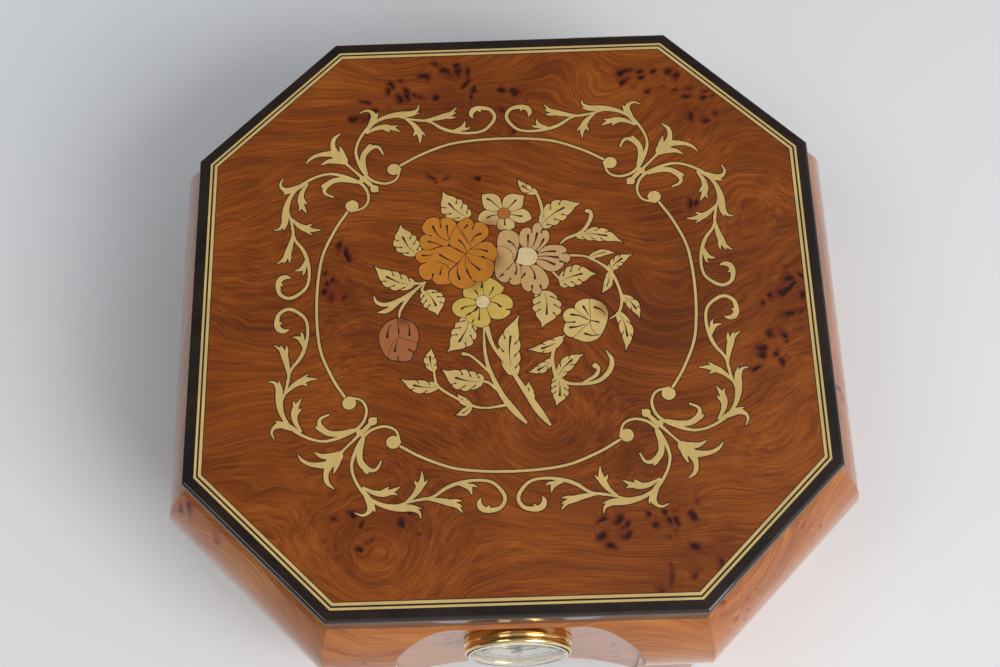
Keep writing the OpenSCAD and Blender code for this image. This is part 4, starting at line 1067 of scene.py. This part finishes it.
def make_bezel(gilt, clear):
    """The rounded gilt rim and the domed glass that fills its front."""
    rim = [(16.0, 2.0), (17.3, 2.0), (17.3, 2.5), (17.0, 2.8), (17.1, 3.1), (17.6, 3.2), (17.9, 3.6),
        (18.0, 4.2), (17.9, 4.8), (17.6, 5.2), (17.3, 5.35), (17.1, 5.3), (17.05, 5.05), (16.0, 5.0)]
    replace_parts(turned("bezel", rim, gilt), "clock_bezel")
    dome = [(0, 6.3), (6, 6.25), (11, 6.1), (15, 5.7), (16.0, 5.4), (16.3, 5.05), (17.0, 5.1), (16.95, 5.6),
        (16.5, 6.05), (15.4, 6.35), (11, 6.75), (6, 6.9), (0, 6.95)]
    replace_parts(turned("crystal", dome, clear), "clock_glass")


def make_dial_marks(material):
    """Sixty minute ticks, twelve hour batons and a minute ring, printed on the dial."""
    verts, faces = [], []
    for k in range(60):
        long = k % 5 == 0
        inner, outer, half = (11.0, 13.4, 0.26) if long else (12.9, 13.4, 0.07)
        a = math.radians(6 * k)
        across, up = (math.cos(a), -math.sin(a)), (math.sin(a), math.cos(a))
        first = len(verts)
        for out in (2.60, 2.52):
            for r, s in ((inner, -half), (inner, half), (outer, half), (outer, -half)):
                verts.append(on_clock(up[0] * r + across[0] * s, up[1] * r + across[1] * s, out))
        faces += [[first + i for i in f] for f in ((0, 1, 2, 3), (7, 6, 5, 4), (0, 4, 5, 1), (1, 5, 6, 2),
            (2, 6, 7, 3), (3, 7, 4, 0))]
    for k in range(120):
        a, b = 2 * math.pi * k / 120, 2 * math.pi * (k + 1) / 120
        first = len(verts)
        for out in (2.59, 2.52):
            for r, t in ((13.5, a), (13.62, a), (13.62, b), (13.5, b)):
                verts.append(on_clock(r * math.sin(t), r * math.cos(t), out))
        faces += [[first + i for i in f] for f in ((0, 1, 2, 3), (7, 6, 5, 4), (0, 4, 7, 3), (1, 2, 6, 5))]
    new_piece("dial_marks", verts, faces, material, "clock")


def make_pins(material):
    """A tune's worth of fine steel pins in rows round the cylinder."""
    low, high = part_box("music_cylinder")
    centre_y, centre_z = (low.y + high.y) / 2, (low.z + high.z) / 2
    radius = (high.z - low.z) / 2
    tip = min(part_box("cylinder_pins")[1].z - centre_z, radius + 0.9 * MM)
    pick = np.random.default_rng(7)
    verts, faces = [], []
    rows = 54
    for row in range(rows):
        x = low.x + (high.x - low.x) * (row + 0.8) / (rows + 0.6)
        for turn in np.sort(pick.uniform(0, 2 * math.pi, 11)):
            first = len(verts)
            for k in range(5):
                a = 2 * math.pi * k / 5
                side = 0.17 * MM * math.cos(a)
                for r, scale in ((radius - 0.2 * MM, 1.0), (tip, 0.45)):
                    swing = turn + 0.17 * MM * math.sin(a) * scale / r
                    verts.append((x + side * scale, centre_y + r * math.sin(swing),
                        centre_z + r * math.cos(swing)))
            ends = [(first + 2 * k, first + 2 * ((k + 1) % 5)) for k in range(5)]
            faces += [[a, b, b + 1, a + 1] for a, b in ends]
            faces += [[first + 1 + 2 * k for k in range(5)], [first + 8 - 2 * k for k in range(5)]]
    pins = new_piece("tune_pins", verts, faces, material, "cylinder")
    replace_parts(pins, "cylinder_pins")


# How many times its size the cloth is worked out at, and over how many frames
ENLARGE = 20
CLOTH_FRAMES = 20


def puff(node, cell, cap, material):
    """A padded copy of a CAD soft part: remeshed, swollen a little as cloth worked out at ENLARGE times its
    size, and capped. cell and cap are in millimetres."""
    source = nodes[node]
    piece = bpy.data.objects.new(node + "_soft", source.data.copy())
    scene.collection.objects.link(piece)
    mesh = piece.data
    mesh.transform(source.matrix_world)
    mesh.transform(Matrix.Scale(ENLARGE, 4))
    remesh = piece.modifiers.new("remesh", "REMESH")
    remesh.mode = "VOXEL"
    remesh.voxel_size = cell * MM * ENLARGE
    settle(piece)
    rest = coordinates(piece)
    cloth = piece.modifiers.new("cloth", "CLOTH")
    cloth.settings.quality = 4
    cloth.settings.mass = 0.15
    cloth.settings.use_pressure = True
    cloth.settings.uniform_pressure_force = 6
    cloth.settings.effector_weights.gravity = 0
    cloth.point_cache.frame_start = 1
    cloth.point_cache.frame_end = CLOTH_FRAMES
    for frame_number in range(1, CLOTH_FRAMES + 1):
        scene.frame_set(frame_number)
    settle(piece)
    scene.frame_set(1)
    swollen = coordinates(piece)
    move = swollen - rest
    far = np.linalg.norm(move, axis=1, keepdims=True)
    move *= np.minimum(1, cap * MM * ENLARGE / np.maximum(far, 1e-9))
    move[:, :2] *= 0.15
    low, high = rest[:, 2].min(), rest[:, 2].max()
    back = high if node == "lid_lining" else low
    held = np.abs(rest[:, 2] - back) < 0.2 * cell * MM * ENLARGE
    move[held, 2] = 0
    done = rest + move
    done[:, 2] = np.maximum(done[:, 2], low) if back == low else np.minimum(done[:, 2], high)
    piece.data.vertices.foreach_set("co", done.astype(np.float32).ravel())
    soft = piece.modifiers.new("soft", "SMOOTH")
    soft.iterations = 3
    soft.factor = 0.5
    settle(piece)
    piece.data.transform(Matrix.Scale(1 / ENLARGE, 4))
    piece.data.materials.clear()
    piece.data.materials.append(material)
    piece.data.shade_smooth()
    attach(piece, "lid" if node == "lid_lining" else "case")
    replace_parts(piece, node)


def settle(piece):
    """Makes what the modifiers show into the piece's own mesh."""
    shown = piece.evaluated_get(bpy.context.evaluated_depsgraph_get())
    mesh = bpy.data.meshes.new_from_object(shown)
    piece.modifiers.clear()
    piece.data = mesh


def coordinates(piece):
    flat = np.empty(len(piece.data.vertices) * 3, np.float32)
    piece.data.vertices.foreach_get("co", flat)
    return flat.reshape(-1, 3).astype(float)


def make_floor():
    mat, tree, bsdf = new_material("paper")
    set_inputs(tree, bsdf, Base_Color=(0.88, 0.905, 0.93), Roughness=0.6)
    bpy.ops.mesh.primitive_plane_add(size=6, location=(0, 0, 0))
    floor = bpy.context.object
    floor.name = "floor"
    floor.data.materials.append(mat)


add_camera()
make_floor()
add_world((0.94, 0.965, 1.0), 0.70, 0.12)
add_area_light("key", (1.1, -1.15, 1.25), (0.08, -0.08, 0), (1.1, 1.1), 26, (1.0, 0.97, 0.93))
add_area_light("fill", (-0.9, -0.35, 1.6), (-0.35, -0.1, 0), (0.8, 0.8), 4.5)
scene.view_settings.view_transform = "Standard"
dress_nodes()
make_marquetry()
make_bezel(bpy.data.materials["gilt"], bpy.data.materials["clear_glass"])
make_dial_marks(bpy.data.materials["black_lacquer"])
make_pins(bpy.data.materials["steel"])
wine = bpy.data.materials["wine_velvet"]
puff("floor_pads", 1.9, 1.1, wine)
puff("ring_roll", 1.5, 0.8, wine)
puff("lid_lining", 2.4, 1.2, wine)
